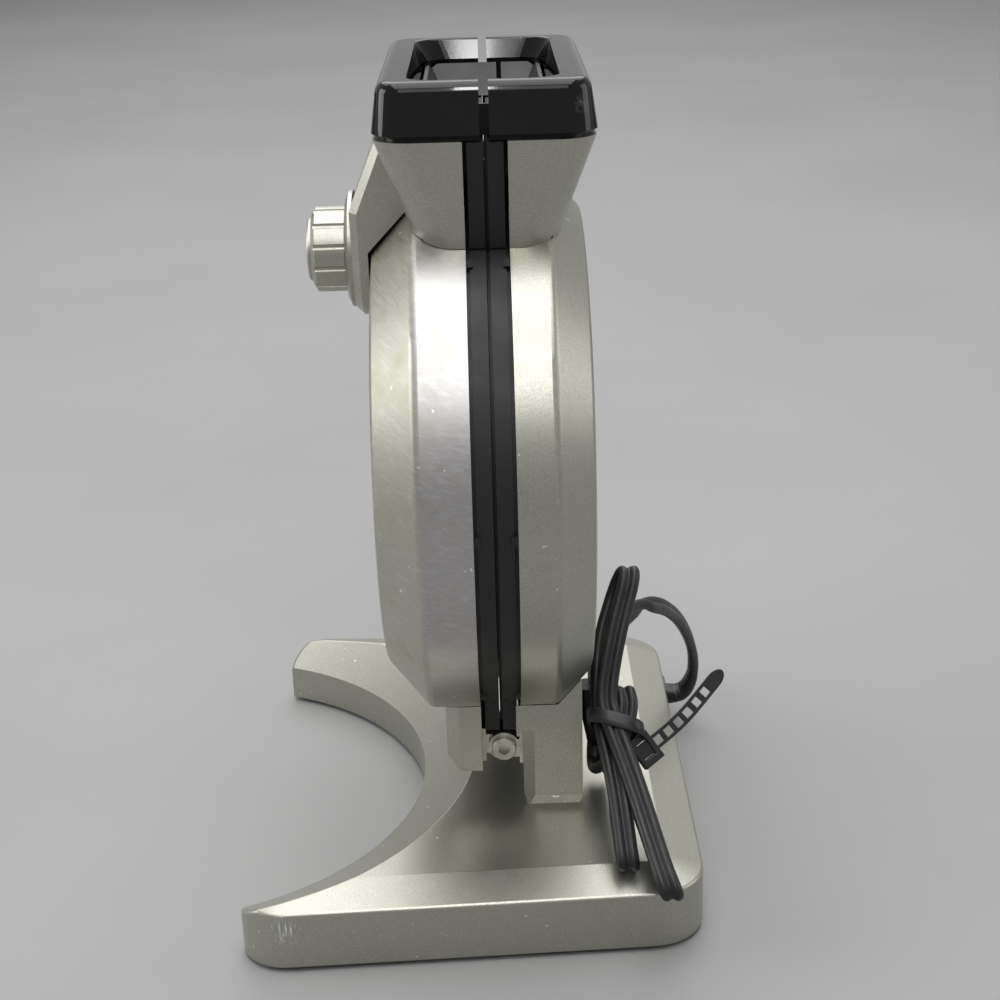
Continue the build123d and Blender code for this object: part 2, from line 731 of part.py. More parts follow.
def make_rim(side):
    plate_radius = PLATE_RADIUS + SEAM
    ledge_radius = PLATE_BODY_RADIUS + SEAM
    spigot = DISC_RADIUS - max(FRONT_WALL, REAR_WALL) - SEAM
    spigot_end = RIM_FAR + RIM_SPIGOT_DEPTH
    points = [
        (plate_radius, RIM_NEAR),
        (RIM_RADIUS, RIM_NEAR),
        (RIM_RADIUS, RIM_FAR),
        (spigot, RIM_FAR),
        (spigot, spigot_end),
        (spigot - RIM_SPIGOT_THICKNESS, spigot_end),
        (spigot - RIM_SPIGOT_THICKNESS, RIM_FAR),
        (ledge_radius, RIM_FAR),
        (ledge_radius, PLATE_FLANGE_DEPTH),
        (plate_radius, PLATE_FLANGE_DEPTH),
    ]
    rim = turned(points, side)
    web_low = DISC_Z + plate_radius + RIM_WEB_LAP
    inset = RIM_RADIUS - DISC_RADIUS
    low_half = neck_half_width(web_low) + inset
    high_half = neck_half_width(RIM_WEB_TOP) + inset
    rim += upright(web_outline(low_half, high_half, web_low, RIM_WEB_TOP), RIM_NEAR, RIM_FAR, side)
    chin_top = DISC_Z - plate_radius - RIM_WEB_LAP
    chin = web_outline(RIM_CHIN_HALF_WIDTH, RIM_CHIN_HALF_WIDTH, RIM_CHIN_LOW_Z, chin_top)
    rim += upright(chin, RIM_NEAR, RIM_FAR, side)
    span = (RIM_RADIUS - RIM_WEB_LAP, DISC_RADIUS - LUG_SINK)
    lug = block(span, (-side * CUT, side * LUG_DEPTH), (-LUG_LENGTH / 2, LUG_LENGTH / 2))
    for angle in LUG_ANGLES:
        rim += Pos(0, parting(RIM_FAR, side), DISC_Z) * Rot(0, -angle, 0) * lug
    if side > 0:
        rim += parting_lip()
    slot = SPOUT_HALF_WIDTH + SPOUT_WALL + SEAM
    rim -= depth_block(slot, -CUT, spigot_end + CUT, DISC_Z + CAVITY_RADIUS, SPOUT_TOP_Z + CUT, side)
    notch = web_outline(slot, funnel_size(RIM_WEB_TOP + CUT)[0], SPOUT_TOP_Z, RIM_WEB_TOP + CUT)
    rim -= upright(notch, -CUT, spigot_end, side)
    for x, z in on_circle(RIM_SCREW_CIRCLE, RIM_SCREW_ANGLES):
        rim -= screw_bore(0, spigot_end, x, z, side)
        rim -= rod_y(SCREW_HEAD_RADIUS + SCREW_CLEARANCE, 0, RIM_NEAR + SCREW_HEAD_HEIGHT, x, z, side)
    return rim


def lip_part(inset):
    """The rim's whole outline drawn in by an inset, from the rear rim across most of the gap."""
    near = LIP_GAP - RIM_NEAR
    far = RIM_NEAR + CUT
    low = NECK_LOW_Z
    low_half = neck_half_width(low) - RIM_SETBACK - inset
    high_half = neck_half_width(RIM_WEB_TOP) - RIM_SETBACK - inset
    outline = web_outline(low_half, high_half, low, RIM_WEB_TOP)
    half = RIM_CHIN_HALF_WIDTH - inset
    outline += web_outline(half, half, RIM_CHIN_LOW_Z + inset, DISC_Z)
    return upright(outline, near, far, 1) + rod_y(RIM_RADIUS - inset, near, far, 0, DISC_Z, 1)


def parting_lip():
    """A thin lip inside the gap between the two rims, which hides what lies behind it."""
    return lip_part(LIP_INSET) - lip_part(LIP_INSET + LIP_WIDTH)


def screws_along_y(depth, length, places, side, away):
    """Screws along Y; away is 1 where they point away from the parting plane, else -1."""
    turn = Rot(90 * side * away, 0, 0)
    piece = screw(length, SCREW_HEAD_HEIGHT)
    return Compound(children=[Pos(x, parting(depth, side), z) * turn * piece for x, z in places])


def make_rim_screws(side):
    places = on_circle(RIM_SCREW_CIRCLE, RIM_SCREW_ANGLES)
    return screws_along_y(RIM_NEAR + SCREW_HEAD_HEIGHT, RIM_SCREW_LENGTH, places, side, 1)


def make_plate_boss_screws(side):
    places = on_circle(PLATE_BOSS_CIRCLE, PLATE_BOSS_ANGLES)
    return screws_along_y(REFLECTOR_DEPTH + REFLECTOR_SHEET, REFLECTOR_SCREW_LENGTH, places, side, -1)


# The waffle plates

def peg_places():
    count = int(CAVITY_RADIUS // PEG_PITCH) + 1
    steps = [(i + 0.5) * PEG_PITCH for i in range(-count, count)]
    half = PEG_SIZE / 2
    places = []
    for x in steps:
        for z in steps:
            if math.hypot(abs(x) + half, abs(z) + half) < CAVITY_RADIUS - PEG_EDGE_GAP:
                places.append((x, z))
    return places


def make_waffle_plate(side):
    points = [
        (0, PLATE_BACK_DEPTH),
        (PLATE_BODY_RADIUS, PLATE_BACK_DEPTH),
        (PLATE_BODY_RADIUS, PLATE_FLANGE_DEPTH),
        (PLATE_RADIUS, PLATE_FLANGE_DEPTH),
        (PLATE_RADIUS, PLATE_LIP_DEPTH),
        (CAVITY_RADIUS, PLATE_LIP_DEPTH),
        (CAVITY_RADIUS - CAVITY_DRAFT, CAVITY_DEPTH),
        (0, CAVITY_DEPTH),
    ]
    plate = turned(points, side)
    height = CAVITY_DEPTH - PEG_TIP_DEPTH
    pegs = []
    for x, z in peg_places():
        peg = extrude(Rectangle(PEG_SIZE, PEG_SIZE), height, taper=PEG_DRAFT)
        pegs.append(Pos(x, parting(CAVITY_DEPTH, side), DISC_Z + z) * Rot(90 * side, 0, 0) * peg)
    plate += pegs
    half = DIVIDER_WIDTH / 2
    reach = CAVITY_RADIUS - CAVITY_DRAFT / 2
    plate += depth_block(reach, DIVIDER_DEPTH, CAVITY_DEPTH, DISC_Z - half, DISC_Z + half, side)
    upright_top = DISC_Z + CAVITY_RADIUS - PEG_PITCH
    plate += depth_block(half, DIVIDER_DEPTH, CAVITY_DEPTH, DISC_Z - reach, upright_top, side)
    low = DISC_Z + CAVITY_RADIUS
    outer = SPOUT_HALF_WIDTH + SPOUT_WALL
    plate += depth_block(outer, PLATE_LIP_DEPTH, SPOUT_DEPTH + SPOUT_WALL, low, SPOUT_TOP_Z, side)
    low -= SPOUT_WALL
    plate -= depth_block(SPOUT_HALF_WIDTH, 0, SPOUT_DEPTH, low, SPOUT_TOP_Z + CUT, side)
    for x, z in on_circle(PLATE_BOSS_CIRCLE, PLATE_BOSS_ANGLES):
        plate += rod_y(PLATE_BOSS_RADIUS, PLATE_BACK_DEPTH - CUT, REFLECTOR_DEPTH, x, z, side)
        plate -= screw_bore(REFLECTOR_DEPTH - PLATE_BOSS_HOLE, REFLECTOR_DEPTH + CUT, x, z, side)
    return plate


def make_element(side):
    """A ring of tube with its two cold pins turned away from the plate."""
    depth = PLATE_BACK_DEPTH + ELEMENT_TUBE_RADIUS + SEAM
    tube = Pos(ELEMENT_RING_RADIUS, 0, 0) * Circle(ELEMENT_TUBE_RADIUS)
    ring = revolve(tube, axis=Axis.Y, revolution_arc=360 - ELEMENT_GAP_ANGLE)
    start = -90 + ELEMENT_GAP_ANGLE / 2
    ring = Pos(0, parting(depth, side), DISC_Z) * Rot(0, -start, 0) * mirror(ring, Plane.XY)
    pin_far = depth + ELEMENT_PIN_LENGTH
    for x, z in on_circle(ELEMENT_RING_RADIUS, (start, -180 - start)):
        ring += Pos(x, parting(depth, side), z) * Sphere(ELEMENT_TUBE_RADIUS)
        ring += rod_y(ELEMENT_TUBE_RADIUS, depth, depth + ELEMENT_TUBE_RADIUS * 2, x, z, side)
        ring += rod_y(ELEMENT_PIN_RADIUS, depth, pin_far, x, z, side)
    return ring


def make_reflector(side):
    inner = PLATE_BODY_RADIUS - REFLECTOR_SHEET
    far = REFLECTOR_DEPTH + REFLECTOR_SHEET
    points = [
        (inner, PLATE_BACK_DEPTH),
        (PLATE_BODY_RADIUS, PLATE_BACK_DEPTH),
        (PLATE_BODY_RADIUS, far),
        (0, far),
        (0, REFLECTOR_DEPTH),
        (inner, REFLECTOR_DEPTH),
    ]
    sheet = turned(points, side)
    start = -90 + ELEMENT_GAP_ANGLE / 2
    for x, z in on_circle(ELEMENT_RING_RADIUS, (start, -180 - start)):
        sheet -= rod_y(ELEMENT_TUBE_RADIUS + ELEMENT_ROOM, REFLECTOR_DEPTH - CUT, far + CUT, x, z, side)
    for x, z in on_circle(PLATE_BOSS_CIRCLE, PLATE_BOSS_ANGLES):
        sheet -= screw_bore(REFLECTOR_DEPTH - CUT, far + CUT, x, z, side)
    return sheet


# The handle and the pouring chute

def mouth_section(half_width, half_depth, z, corner):
    return Pos(0, PARTING_Y, z) * RectangleRounded(2 * half_width, 2 * half_depth, corner)


def handle_ring():
    """Both halves of the handle as one ring, before they are parted."""
    section = RectangleRounded(2 * HANDLE_HALF_WIDTH, 2 * HANDLE_HALF_DEPTH, HANDLE_CORNER)
    ring = extrude(section, HANDLE_TOP_Z - HANDLE_LOW_Z, taper=HANDLE_DRAFT)
    ring = fillet(ring.edges().group_by(Axis.Z)[-1], HANDLE_EDGE_RADIUS)
    ring = Pos(0, PARTING_Y, HANDLE_LOW_Z) * ring
    width = 2 * (HANDLE_HALF_WIDTH - HANDLE_PLINTH_INSET)
    depth = 2 * (HANDLE_HALF_DEPTH - HANDLE_PLINTH_INSET)
    plinth = extrude(RectangleRounded(width, depth, HANDLE_CORNER), HANDLE_LOW_Z - NECK_TOP_Z)
    ring += Pos(0, PARTING_Y, NECK_TOP_Z) * plinth
    slope_low = HANDLE_TOP_Z - MOUTH_SLOPE_DEPTH
    low = mouth_section(MOUTH_LOW_HALF_WIDTH, MOUTH_LOW_HALF_DEPTH, slope_low, MOUTH_CORNER)
    high = mouth_section(MOUTH_TOP_HALF_WIDTH, MOUTH_TOP_HALF_DEPTH, HANDLE_TOP_Z, MOUTH_CORNER)
    ring -= loft([low, high], ruled=True)
    ring -= extrude(low, NECK_TOP_Z - CUT - slope_low)
    rim = [e for e in ring.edges().group_by(Axis.Z)[-1] if is_mouth_edge(e)]
    return fillet(rim, MOUTH_EDGE_RADIUS)


def is_mouth_edge(edge):
    middle = edge.center()
    wide = abs(middle.X) < MOUTH_TOP_HALF_WIDTH + 0.01
    return wide and abs(middle.Y - PARTING_Y) < MOUTH_TOP_HALF_DEPTH + 0.01


def make_handle(side):
    wide = HANDLE_HALF_WIDTH + CUT
    deep = HANDLE_HALF_DEPTH + CUT
    handle = handle_ring() & depth_block(wide, HANDLE_GAP, deep, NECK_TOP_Z, HANDLE_TOP_Z, side)
    for x, y in handle_screw_places(side):
        handle -= screw_hole(NECK_TOP_Z - CUT, NECK_TOP_Z + HANDLE_SCREW_LENGTH, x, y)
    return handle


def make_handle_screws(side):
    low = NECK_TOP_Z - NECK_WALL
    return screws_up(HANDLE_SCREW_LENGTH, SCREW_HEAD_HEIGHT, low, handle_screw_places(side))


def collar_size():
    """The half width and half depth of the collar that stands up into the handle."""
    return MOUTH_LOW_HALF_WIDTH - COLLAR_GAP, MOUTH_LOW_HALF_DEPTH - COLLAR_GAP


def funnel_size(z):
    """The half width and half depth of the pouring funnel at a height."""
    wide, deep = collar_size()
    share = (z - SPOUT_TOP_Z) / (COLLAR_TOP_Z - SPOUT_TOP_Z)
    half = blend(SPOUT_HALF_WIDTH, wide - COLLAR_WALL, share)
    return half, blend(SPOUT_DEPTH, deep - COLLAR_WALL, share)


def make_chute(side):
    """Half of the funnel; the front half's collar laps over the parting plane."""
    near = RIM_FAR + SEAM
    joint_low = NECK_TOP_Z - SEAM
    joint_top = NECK_TOP_Z + SEAM
    body = depth_block(CHUTE_HALF_WIDTH, near, CHUTE_DEPTH, SPOUT_TOP_Z, joint_low, side)
    wide, deep = collar_size()
    plan = RectangleRounded(2 * wide, 2 * deep, MOUTH_CORNER - COLLAR_GAP)
    collar = Pos(0, PARTING_Y, joint_low - CUT) * extrude(plan, COLLAR_TOP_Z - joint_low + CUT)
    body += collar & depth_block(CHUTE_HALF_WIDTH, near, deep, joint_low - CUT, joint_top, side)
    lap = -COLLAR_LAP if side < 0 else COLLAR_LAP + COLLAR_SLOT
    body += collar & depth_block(wide, lap, deep, joint_top, COLLAR_TOP_Z, side)
    sizes = [(z, *funnel_size(z)) for z in (SPOUT_TOP_Z, COLLAR_TOP_Z + CUT)]
    return body - loft([mouth_section(w, d, z, CHUTE_CORNER) for z, w, d in sizes], ruled=True)


# The control housing, dial and knob

def housing_outline(inset):
    round_end = Pos(0, KNOB_Z) * Circle(HOUSING_ROUND_RADIUS - inset)
    low_half = HOUSING_ROUND_RADIUS - inset
    high_half = HOUSING_TOP_HALF_WIDTH - inset
    return round_end + web_outline(low_half, high_half, KNOB_Z, NECK_TOP_Z)


def housing_profile(inset):
    """The housing from the side, as (depth, z) points."""
    depth = HOUSING_DEPTH - inset
    top_depth = HOUSING_TOP_DEPTH - inset
    low = KNOB_Z - HOUSING_ROUND_RADIUS - CUT
    points = [
        (HOUSING_ROOT_DEPTH, low),
        (depth, low),
        (depth, HOUSING_SLOPE_Z),
        (top_depth, NECK_TOP_Z),
        (HOUSING_ROOT_DEPTH, NECK_TOP_Z),
    ]
    half = HOUSING_TOP_HALF_WIDTH + CUT
    face = make_face(Polyline(*[(0, parting(d, -1), z) for d, z in points], close=True))
    return extrude(face, half, dir=(1, 0, 0)) + extrude(face, half, dir=(-1, 0, 0))


def housing_solid(inset):
    upright_form = upright(housing_outline(inset), HOUSING_ROOT_DEPTH, HOUSING_DEPTH - inset, -1)
    return upright_form & housing_profile(inset)


def on_slope(x):
    """A place for a lamp on the housing's sloping face, with +Z out of the face."""
    run = HOUSING_DEPTH - HOUSING_TOP_DEPTH
    rise = NECK_TOP_Z - HOUSING_SLOPE_Z
    angle = math.degrees(math.atan2(run, rise))
    foot = Pos(x, parting(HOUSING_DEPTH, -1), HOUSING_SLOPE_Z)
    return foot * Rot(90 - angle, 0, 0) * Pos(0, math.hypot(run, rise) * LENS_HEIGHT_SHARE, 0)


def lens_places():
    return [on_slope(x) for x in (-LENS_SPACING / 2, LENS_SPACING / 2)]


def make_control_housing():
    outer = housing_solid(0)
    upright_face, slope_face = sorted(outer.faces(), key=lambda face: face.center().Y)[:2]
    edges = upright_face.edges() + slope_face.edges()
    rim = [edge for edge in edges if edge.center().Z < NECK_TOP_Z - CUT and not is_fold(edge)]
    outer = chamfer(rim, HOUSING_CHAMFER)
    housing = outer - housing_solid(HOUSING_WALL)
    housing -= disc_solid(-1, HOUSING_SHADOW_GAP)
    housing -= neck_block(-1, -SEAM, NECK_LOW_Z, NECK_TOP_Z + CUT, 0)
    near = HOUSING_DEPTH - HOUSING_WALL - CUT
    housing -= rod_y(SHAFT_RADIUS + BEZEL_BORE_GAP, near, HOUSING_DEPTH + CUT, 0, KNOB_Z, -1)
    for place in lens_places():
        housing -= place * Cylinder(LENS_RADIUS + SCREW_CLEARANCE, 4 * HOUSING_WALL)
    return housing


def is_fold(edge):
    """The fold between the housing's upright face and its sloping face."""
    level = abs(edge.center().Z - HOUSING_SLOPE_Z) < 0.01
    return level and abs(edge.center().X) < 0.01


def make_bezel():
    near = HOUSING_DEPTH
    far = HOUSING_DEPTH + BEZEL_THICKNESS
    bore = SHAFT_RADIUS + BEZEL_BORE_GAP
    points = [
        (bore, near),
        (BEZEL_RADIUS, near),
        (BEZEL_RADIUS, near + BEZEL_LIP),
        (BEZEL_FACE_RADIUS, far),
        (bore, far),
    ]
    outline = make_face(Polyline(*[(r, -d) for r, d in points], close=True))
    return Pos(0, PARTING_Y, KNOB_Z) * revolve(outline, axis=Axis.Y)


def knob_start():
    return HOUSING_DEPTH + BEZEL_THICKNESS + KNOB_GAP


def make_knob():
    near = knob_start()
    far = near + KNOB_LENGTH
    r = KNOB_RADIUS
    step = KNOB_CAP_RADIUS + KNOB_FACE_STEP
    points = [(0, near), (r, near), (r, far - KNOB_CHAMFER), (step, far), (0, far)]
    outline = make_face(Polyline(*[(radius, -d) for radius, d in points], close=True))
    knob = Pos(0, PARTING_Y, KNOB_Z) * revolve(outline, axis=Axis.Y)
    for i in range(KNOB_FLUTES):
        turn = math.radians((i + 0.5) * 360 / KNOB_FLUTES)
        x = (r + FLUTE_SETBACK) * math.cos(turn)
        z = KNOB_Z + (r + FLUTE_SETBACK) * math.sin(turn)
        knob -= rod_y(KNOB_FLUTE_RADIUS, near - CUT, far + CUT, x, z, -1)
    inner = r - KNOB_WALL - KNOB_FLUTE_RADIUS
    knob -= rod_y(inner, near - CUT, far - KNOB_WALL, 0, KNOB_Z, -1)
    knob += rod_y(SHAFT_RADIUS + KNOB_WALL, near, far - CUT, 0, KNOB_Z, -1)
    return knob - rod_y(SHAFT_RADIUS, near - CUT, shaft_end(), 0, KNOB_Z, -1)


def make_knob_cap():
    near = knob_start() + KNOB_LENGTH
    cap = rod_y(KNOB_CAP_RADIUS, near, near + KNOB_CAP_THICKNESS, 0, KNOB_Z, -1)
    return chamfer(cap.edges().group_by(Axis.Y)[0], KNOB_CAP_CHAMFER)


def shaft_end():
    return knob_start() + KNOB_LENGTH - KNOB_WALL - SHAFT_TIP


def thermostat_span():
    """The depths between which the thermostat lies behind the housing's face."""
    far = HOUSING_DEPTH - HOUSING_WALL
    return far - THERMOSTAT_DEPTH, far


def make_shaft():
    near, far = thermostat_span()
    return rod_y(SHAFT_RADIUS, near + THERMOSTAT_FLOOR, shaft_end(), 0, KNOB_Z, -1)


def make_thermostat():
    near, far = thermostat_span()
    half = THERMOSTAT_HEIGHT / 2
    body = depth_block(THERMOSTAT_WIDTH / 2, near, far, KNOB_Z - half, KNOB_Z + half, -1)
    body -= front_sheet()
    start = near + THERMOSTAT_FLOOR - SHAFT_END_GAP
    return body - rod_y(SHAFT_RADIUS + SHAFT_CLEARANCE, start, far + CUT, 0, KNOB_Z, -1)


def front_sheet():
    """The front cover's own sheet round its control hole, which the thermostat clears."""
    sheet = disc_solid(-1, SEAM) - disc_solid(-1, -FRONT_WALL - SEAM)
    return sheet - control_hole(CONTROL_HOLE_RADIUS - SEAM)


def make_lenses():
    length = LENS_PROUD + HOUSING_WALL + LENS_TAIL
    lenses = []
    for place in lens_places():
        lens = place * Pos(0, 0, LENS_PROUD - length / 2) * Cylinder(LENS_RADIUS, length)
        lenses.append(fillet(lens.edges().sort_by(Axis.Y)[0], LENS_EDGE_RADIUS))
    return Compound(children=lenses)


def make_board():
    depth = HOUSING_WALL + LENS_TAIL + BOARD_THICKNESS / 2
    return on_slope(0) * Pos(0, 0, -depth) * Box(BOARD_WIDTH, BOARD_HEIGHT, BOARD_THICKNESS)


# The hinge

def make_arm():
    """The hollow arm below the front half: its plan has two chamfered front corners."""
    half = ARM_HALF_WIDTH
    front = ARM_FRONT_DEPTH
    corner = front - ARM_CHAMFER
    right = [(half, ARM_BACK_DEPTH), (half, corner), (half - ARM_CHAMFER, front)]
    points = right + [(-x, depth) for x, depth in reversed(right)]
    plan = make_face(Polyline(*[(x, -depth) for x, depth in points], close=True))
    outer = Pos(0, PARTING_Y, ARM_LOW_Z) * extrude(plan, ARM_TOP_Z - ARM_LOW_Z)
    outer = chamfer(outer.edges().group_by(Axis.Z)[0].sort_by(Axis.Y)[0], ARM_CHAMFER)
    low = ARM_LOW_Z + ARM_CHAMFER + ARM_WALL / 2
    near = ARM_BACK_DEPTH + ARM_WALL
    far = front - ARM_WALL - ARM_CHAMFER / 2
    inner = depth_block(half - ARM_WALL, near, far, low, ARM_TOP_Z + CUT, -1)
    return outer - inner - disc_solid(-1, SEAM)


def hinge_stations():
    """X ranges of the outer ear, the knuckle and the inner ear on the +X side."""
    outer_high = PIN_HEAD_X - PIN_HEAD_THICKNESS
    outer_low = outer_high - EAR_THICKNESS
    knuckle_high = outer_low - KNUCKLE_GAP
    knuckle_low = knuckle_high - KNUCKLE_LENGTH
    inner_high = knuckle_low - KNUCKLE_GAP
    return (outer_low, outer_high), (knuckle_low, knuckle_high), (inner_high - EAR_THICKNESS, inner_high)


def both_sides(span):
    low, high = span
    return [(low, high), (-high, -low)]


def make_fixed_bracket():
    outer, knuckle, inner = hinge_stations()
    back = parting(COLUMN_FRONT_GAP, 1)
    pin_y = PARTING_Y + PIN_Y
    levels = (HINGE_PLATE_LOW_Z, HINGE_PLATE_TOP_Z)
    bracket = block((-outer[1], outer[1]), (back - HINGE_SHEET, back), levels)
    for span in both_sides(outer) + both_sides(inner):
        bracket += rod_x(EAR_RADIUS, *span, pin_y, PIN_Z)
        bracket += block(span, (pin_y, back), (PIN_Z - EAR_WEB_BELOW, PIN_Z + EAR_WEB_ABOVE))
    for span in both_sides((inner[0] - CUT, outer[1] + CUT)):
        bracket -= rod_x(PIN_RADIUS + PIN_CLEARANCE, *span, pin_y, PIN_Z)
    return bracket


def make_knuckles():
    outer, knuckle, inner = hinge_stations()
    front = parting(ARM_BACK_DEPTH, -1)
    pin_y = PARTING_Y + PIN_Y
    bush = PIN_RADIUS + PIN_CLEARANCE + BUSH_WALL
    levels = (HINGE_PLATE_LOW_Z, HINGE_PLATE_TOP_Z)
    bracket = block((-knuckle[1], knuckle[1]), (front, front + HINGE_SHEET), levels)
    for span in both_sides(knuckle):
        bracket += rod_x(KNUCKLE_RADIUS, *span, pin_y, PIN_Z)
        bracket += block(span, (front, pin_y), (PIN_Z - KNUCKLE_WEB, PIN_Z + KNUCKLE_WEB))
        bracket -= rod_x(bush, span[0] - CUT, span[1] + CUT, pin_y, PIN_Z)
    return bracket


def make_bushes():
    outer, knuckle, inner = hinge_stations()
    pin_y = PARTING_Y + PIN_Y
    bore = PIN_RADIUS + PIN_CLEARANCE
    bushes = []
    for low, high in both_sides(knuckle):
        tube = rod_x(bore + BUSH_WALL, low, high, pin_y, PIN_Z)
        bushes.append(tube - rod_x(bore, low - CUT, high + CUT, pin_y, PIN_Z))
    return Compound(children=bushes)


def make_pins():
    outer, knuckle, inner = hinge_stations()
    pin_y = PARTING_Y + PIN_Y
    pins = []
    for sign in (-1, 1):
        head = rod_x(PIN_HEAD_RADIUS, outer[1], PIN_HEAD_X, pin_y, PIN_Z)
        head = chamfer(head.edges().group_by(Axis.X)[-1], PIN_HEAD_CHAMFER)
        pin = head + rod_x(PIN_RADIUS, inner[0], outer[1], pin_y, PIN_Z)
        hexagon = extrude(RegularPolygon(PIN_SOCKET / 2, 6, major_radius=False), PIN_SOCKET_DEPTH + CUT)
        pin -= Pos(PIN_HEAD_X - PIN_SOCKET_DEPTH, pin_y, PIN_Z) * Rot(0, 90, 0) * hexagon
        pins.append(pin if sign > 0 else mirror(pin, Plane.YZ))
    return Compound(children=pins)


# The mains lead

def gland_neck(grow):
    """The gland's neck in the base's rear wall, or with some growth the hole for it."""
    back = BASE_DEPTH / 2
    width = GLAND_NECK_WIDTH + 2 * grow
    height = GLAND_NECK_HEIGHT + 2 * grow
    return Pos(GLAND_X, back - BASE_WALL / 2, GLAND_Z) * Box(width, BASE_WALL, height)


def make_gland():
    back = BASE_DEPTH / 2
    inside = back - BASE_WALL - GLAND_FLANGE / 2
    flange = Pos(GLAND_X, inside, GLAND_Z) * Box(GLAND_WIDTH, GLAND_FLANGE, GLAND_HEIGHT)
    collar = Pos(GLAND_X, back + GLAND_COLLAR / 2, GLAND_Z) * Box(GLAND_WIDTH, GLAND_COLLAR, GLAND_HEIGHT)
    mouth = RectangleRounded(GLAND_NOSE_WIDTH, GLAND_NOSE_HEIGHT, GLAND_NOSE_CORNER)
    nose = extrude(mouth, GLAND_NOSE, taper=GLAND_NOSE_DRAFT)
    return gland_neck(0) + flange + collar + Pos(GLAND_X, back, GLAND_Z) * Rot(-90, 0, 0) * nose


def cord_tube(points, diameter, name):
    """A plain tube on straight runs joined by arcs as large as the runs allow."""
    runs = [Vector(*b) - Vector(*a) for a, b in zip(points, points[1:])]
    radii = []
    for before, after in zip(runs, runs[1:]):
        turn = math.radians(before.get_angle(after))
        radii.append(0.45 * min(before.length, after.length) / math.tan(turn / 2))
    path = FilletPolyline(*points, radius=radii)
    start = Plane(origin=points[0], z_dir=runs[0].normalized())
    tube = sweep(start * Circle(diameter / 2), path=path)
    ideal = math.pi * diameter ** 2 / 4 * path.length
    print(name, "length", round(path.length, 1), "runs", [round(r.length, 1) for r in runs])
    print(name, "radii", [round(r, 1) for r in radii], "volume share", round(tube.volume / ideal, 4))
    return tube


def hank_plane(stations, i):
    """The cross-section plane at one station: its Y faces the near side, its Z runs down the hank."""
    places = [Vector(*station[0]) for station in stations]
    before = places[max(i - 1, 0)]
    after = places[min(i + 1, len(places) - 1)]
    along = (after - before).normalized()
    facing = Vector(*HANK_FACING)
    facing = (facing - along * facing.dot(along)).normalized()
    return Plane(origin=places[i], x_dir=facing.cross(along), z_dir=along)


def hank_bar(stations):
    sections = []
    for i, (place, width, thickness) in enumerate(stations):
        sections.append(hank_plane(stations, i) * RectangleRounded(width, thickness, HANK_CORNER))
    return loft(sections, ruled=True)


def make_hank():
    return hank_bar(HANK_MAIN) + hank_bar(HANK_BRANCH)


def make_lead():
    """The free lead, cut off where it runs into the hank."""
    return cord_tube(CORD_POINTS, CORD_TUBE_DIAMETER, "lead") - make_hank()


def make_plug_lead():
    """The short loop from the hank to the plug."""
    ends = [plug_place() * Pos(0, 0, -PLUG_LENGTH - gap) for gap in (PLUG_LEAD_START, 0)]
    points = PLUG_CORD_POINTS + [tuple(end.position) for end in ends]
    return cord_tube(points, CORD_TUBE_DIAMETER, "plug lead") - make_hank()


def tie_plane():
    widths = [width for place, width, thickness in HANK_MAIN]
    across = hank_plane(HANK_MAIN, widths.index(max(widths)))
    moved = Plane(origin=across.origin + across.z_dir * TIE_SLIP, x_dir=across.x_dir, z_dir=across.z_dir)
    return moved.rotated((0, TIE_TILT, 0))


def make_tie():
    """A strap round the hank, its buckle and its loose ladder tail."""
    plane = tie_plane()
    outer_size = (TIE_INNER_WIDTH + 2 * TIE_SHEET, TIE_INNER_THICKNESS + 2 * TIE_SHEET)
    outer = RectangleRounded(*outer_size, TIE_CORNER + TIE_SHEET)
    inner = RectangleRounded(TIE_INNER_WIDTH, TIE_INNER_THICKNESS, TIE_CORNER)
    band = plane * extrude(outer - inner, TIE_WIDTH / 2, both=True)
    middle = TIE_INNER_WIDTH / 2 + TIE_SHEET / 2 + TIE_BUCKLE[0] / 2
    buckle = plane * Pos(middle, TIE_BUCKLE_SHIFT, TIE_BUCKLE_SHIFT) * Box(*TIE_BUCKLE)
    start = (plane * Pos(middle, TIE_BUCKLE_SHIFT, TIE_BUCKLE_SHIFT)).position
    way = Vector(*TIE_TAIL_END) - start
    facing = Vector(*HANK_FACING)
    facing = (facing - way.normalized() * facing.dot(way.normalized())).normalized()
    strip = Plane(origin=start, x_dir=way.normalized(), z_dir=facing)
    half = TIE_WIDTH / 2
    tail = block((0, way.length), (-half, half), (-TIE_SHEET / 2, TIE_SHEET / 2))
    tail = fillet(tail.edges().filter_by(Axis.Z).group_by(Axis.X)[-1], TIE_TIP_RADIUS)
    for i in range(TIE_HOLES):
        place = Pos(TIE_HOLE_START + i * TIE_HOLE_PITCH, 0, 0)
        tail -= place * Box(TIE_HOLE, TIE_HOLE, TIE_SHEET + CUT)
    return band + buckle + strip * tail - make_hank()


def plug_place():
    return Pos(*PLUG_FACE) * Rot(0, PLUG_TILT, 0)


def make_plug_body():
    face = RectangleRounded(PLUG_WIDTH, PLUG_THICKNESS, PLUG_CORNER)
    tail = RectangleRounded(PLUG_TAIL_WIDTH, PLUG_TAIL_THICKNESS, PLUG_TAIL_CORNER)
    body = loft([face, Pos(0, 0, -PLUG_STRAIGHT) * face, Pos(0, 0, -PLUG_LENGTH) * tail], ruled=True)
    for x in (-BLADE_GAP / 2, BLADE_GAP / 2):
        body -= Pos(x, 0, -BLADE_ROOT / 2) * Box(BLADE_THICKNESS, BLADE_WIDTH, BLADE_ROOT)
    return plug_place() * body


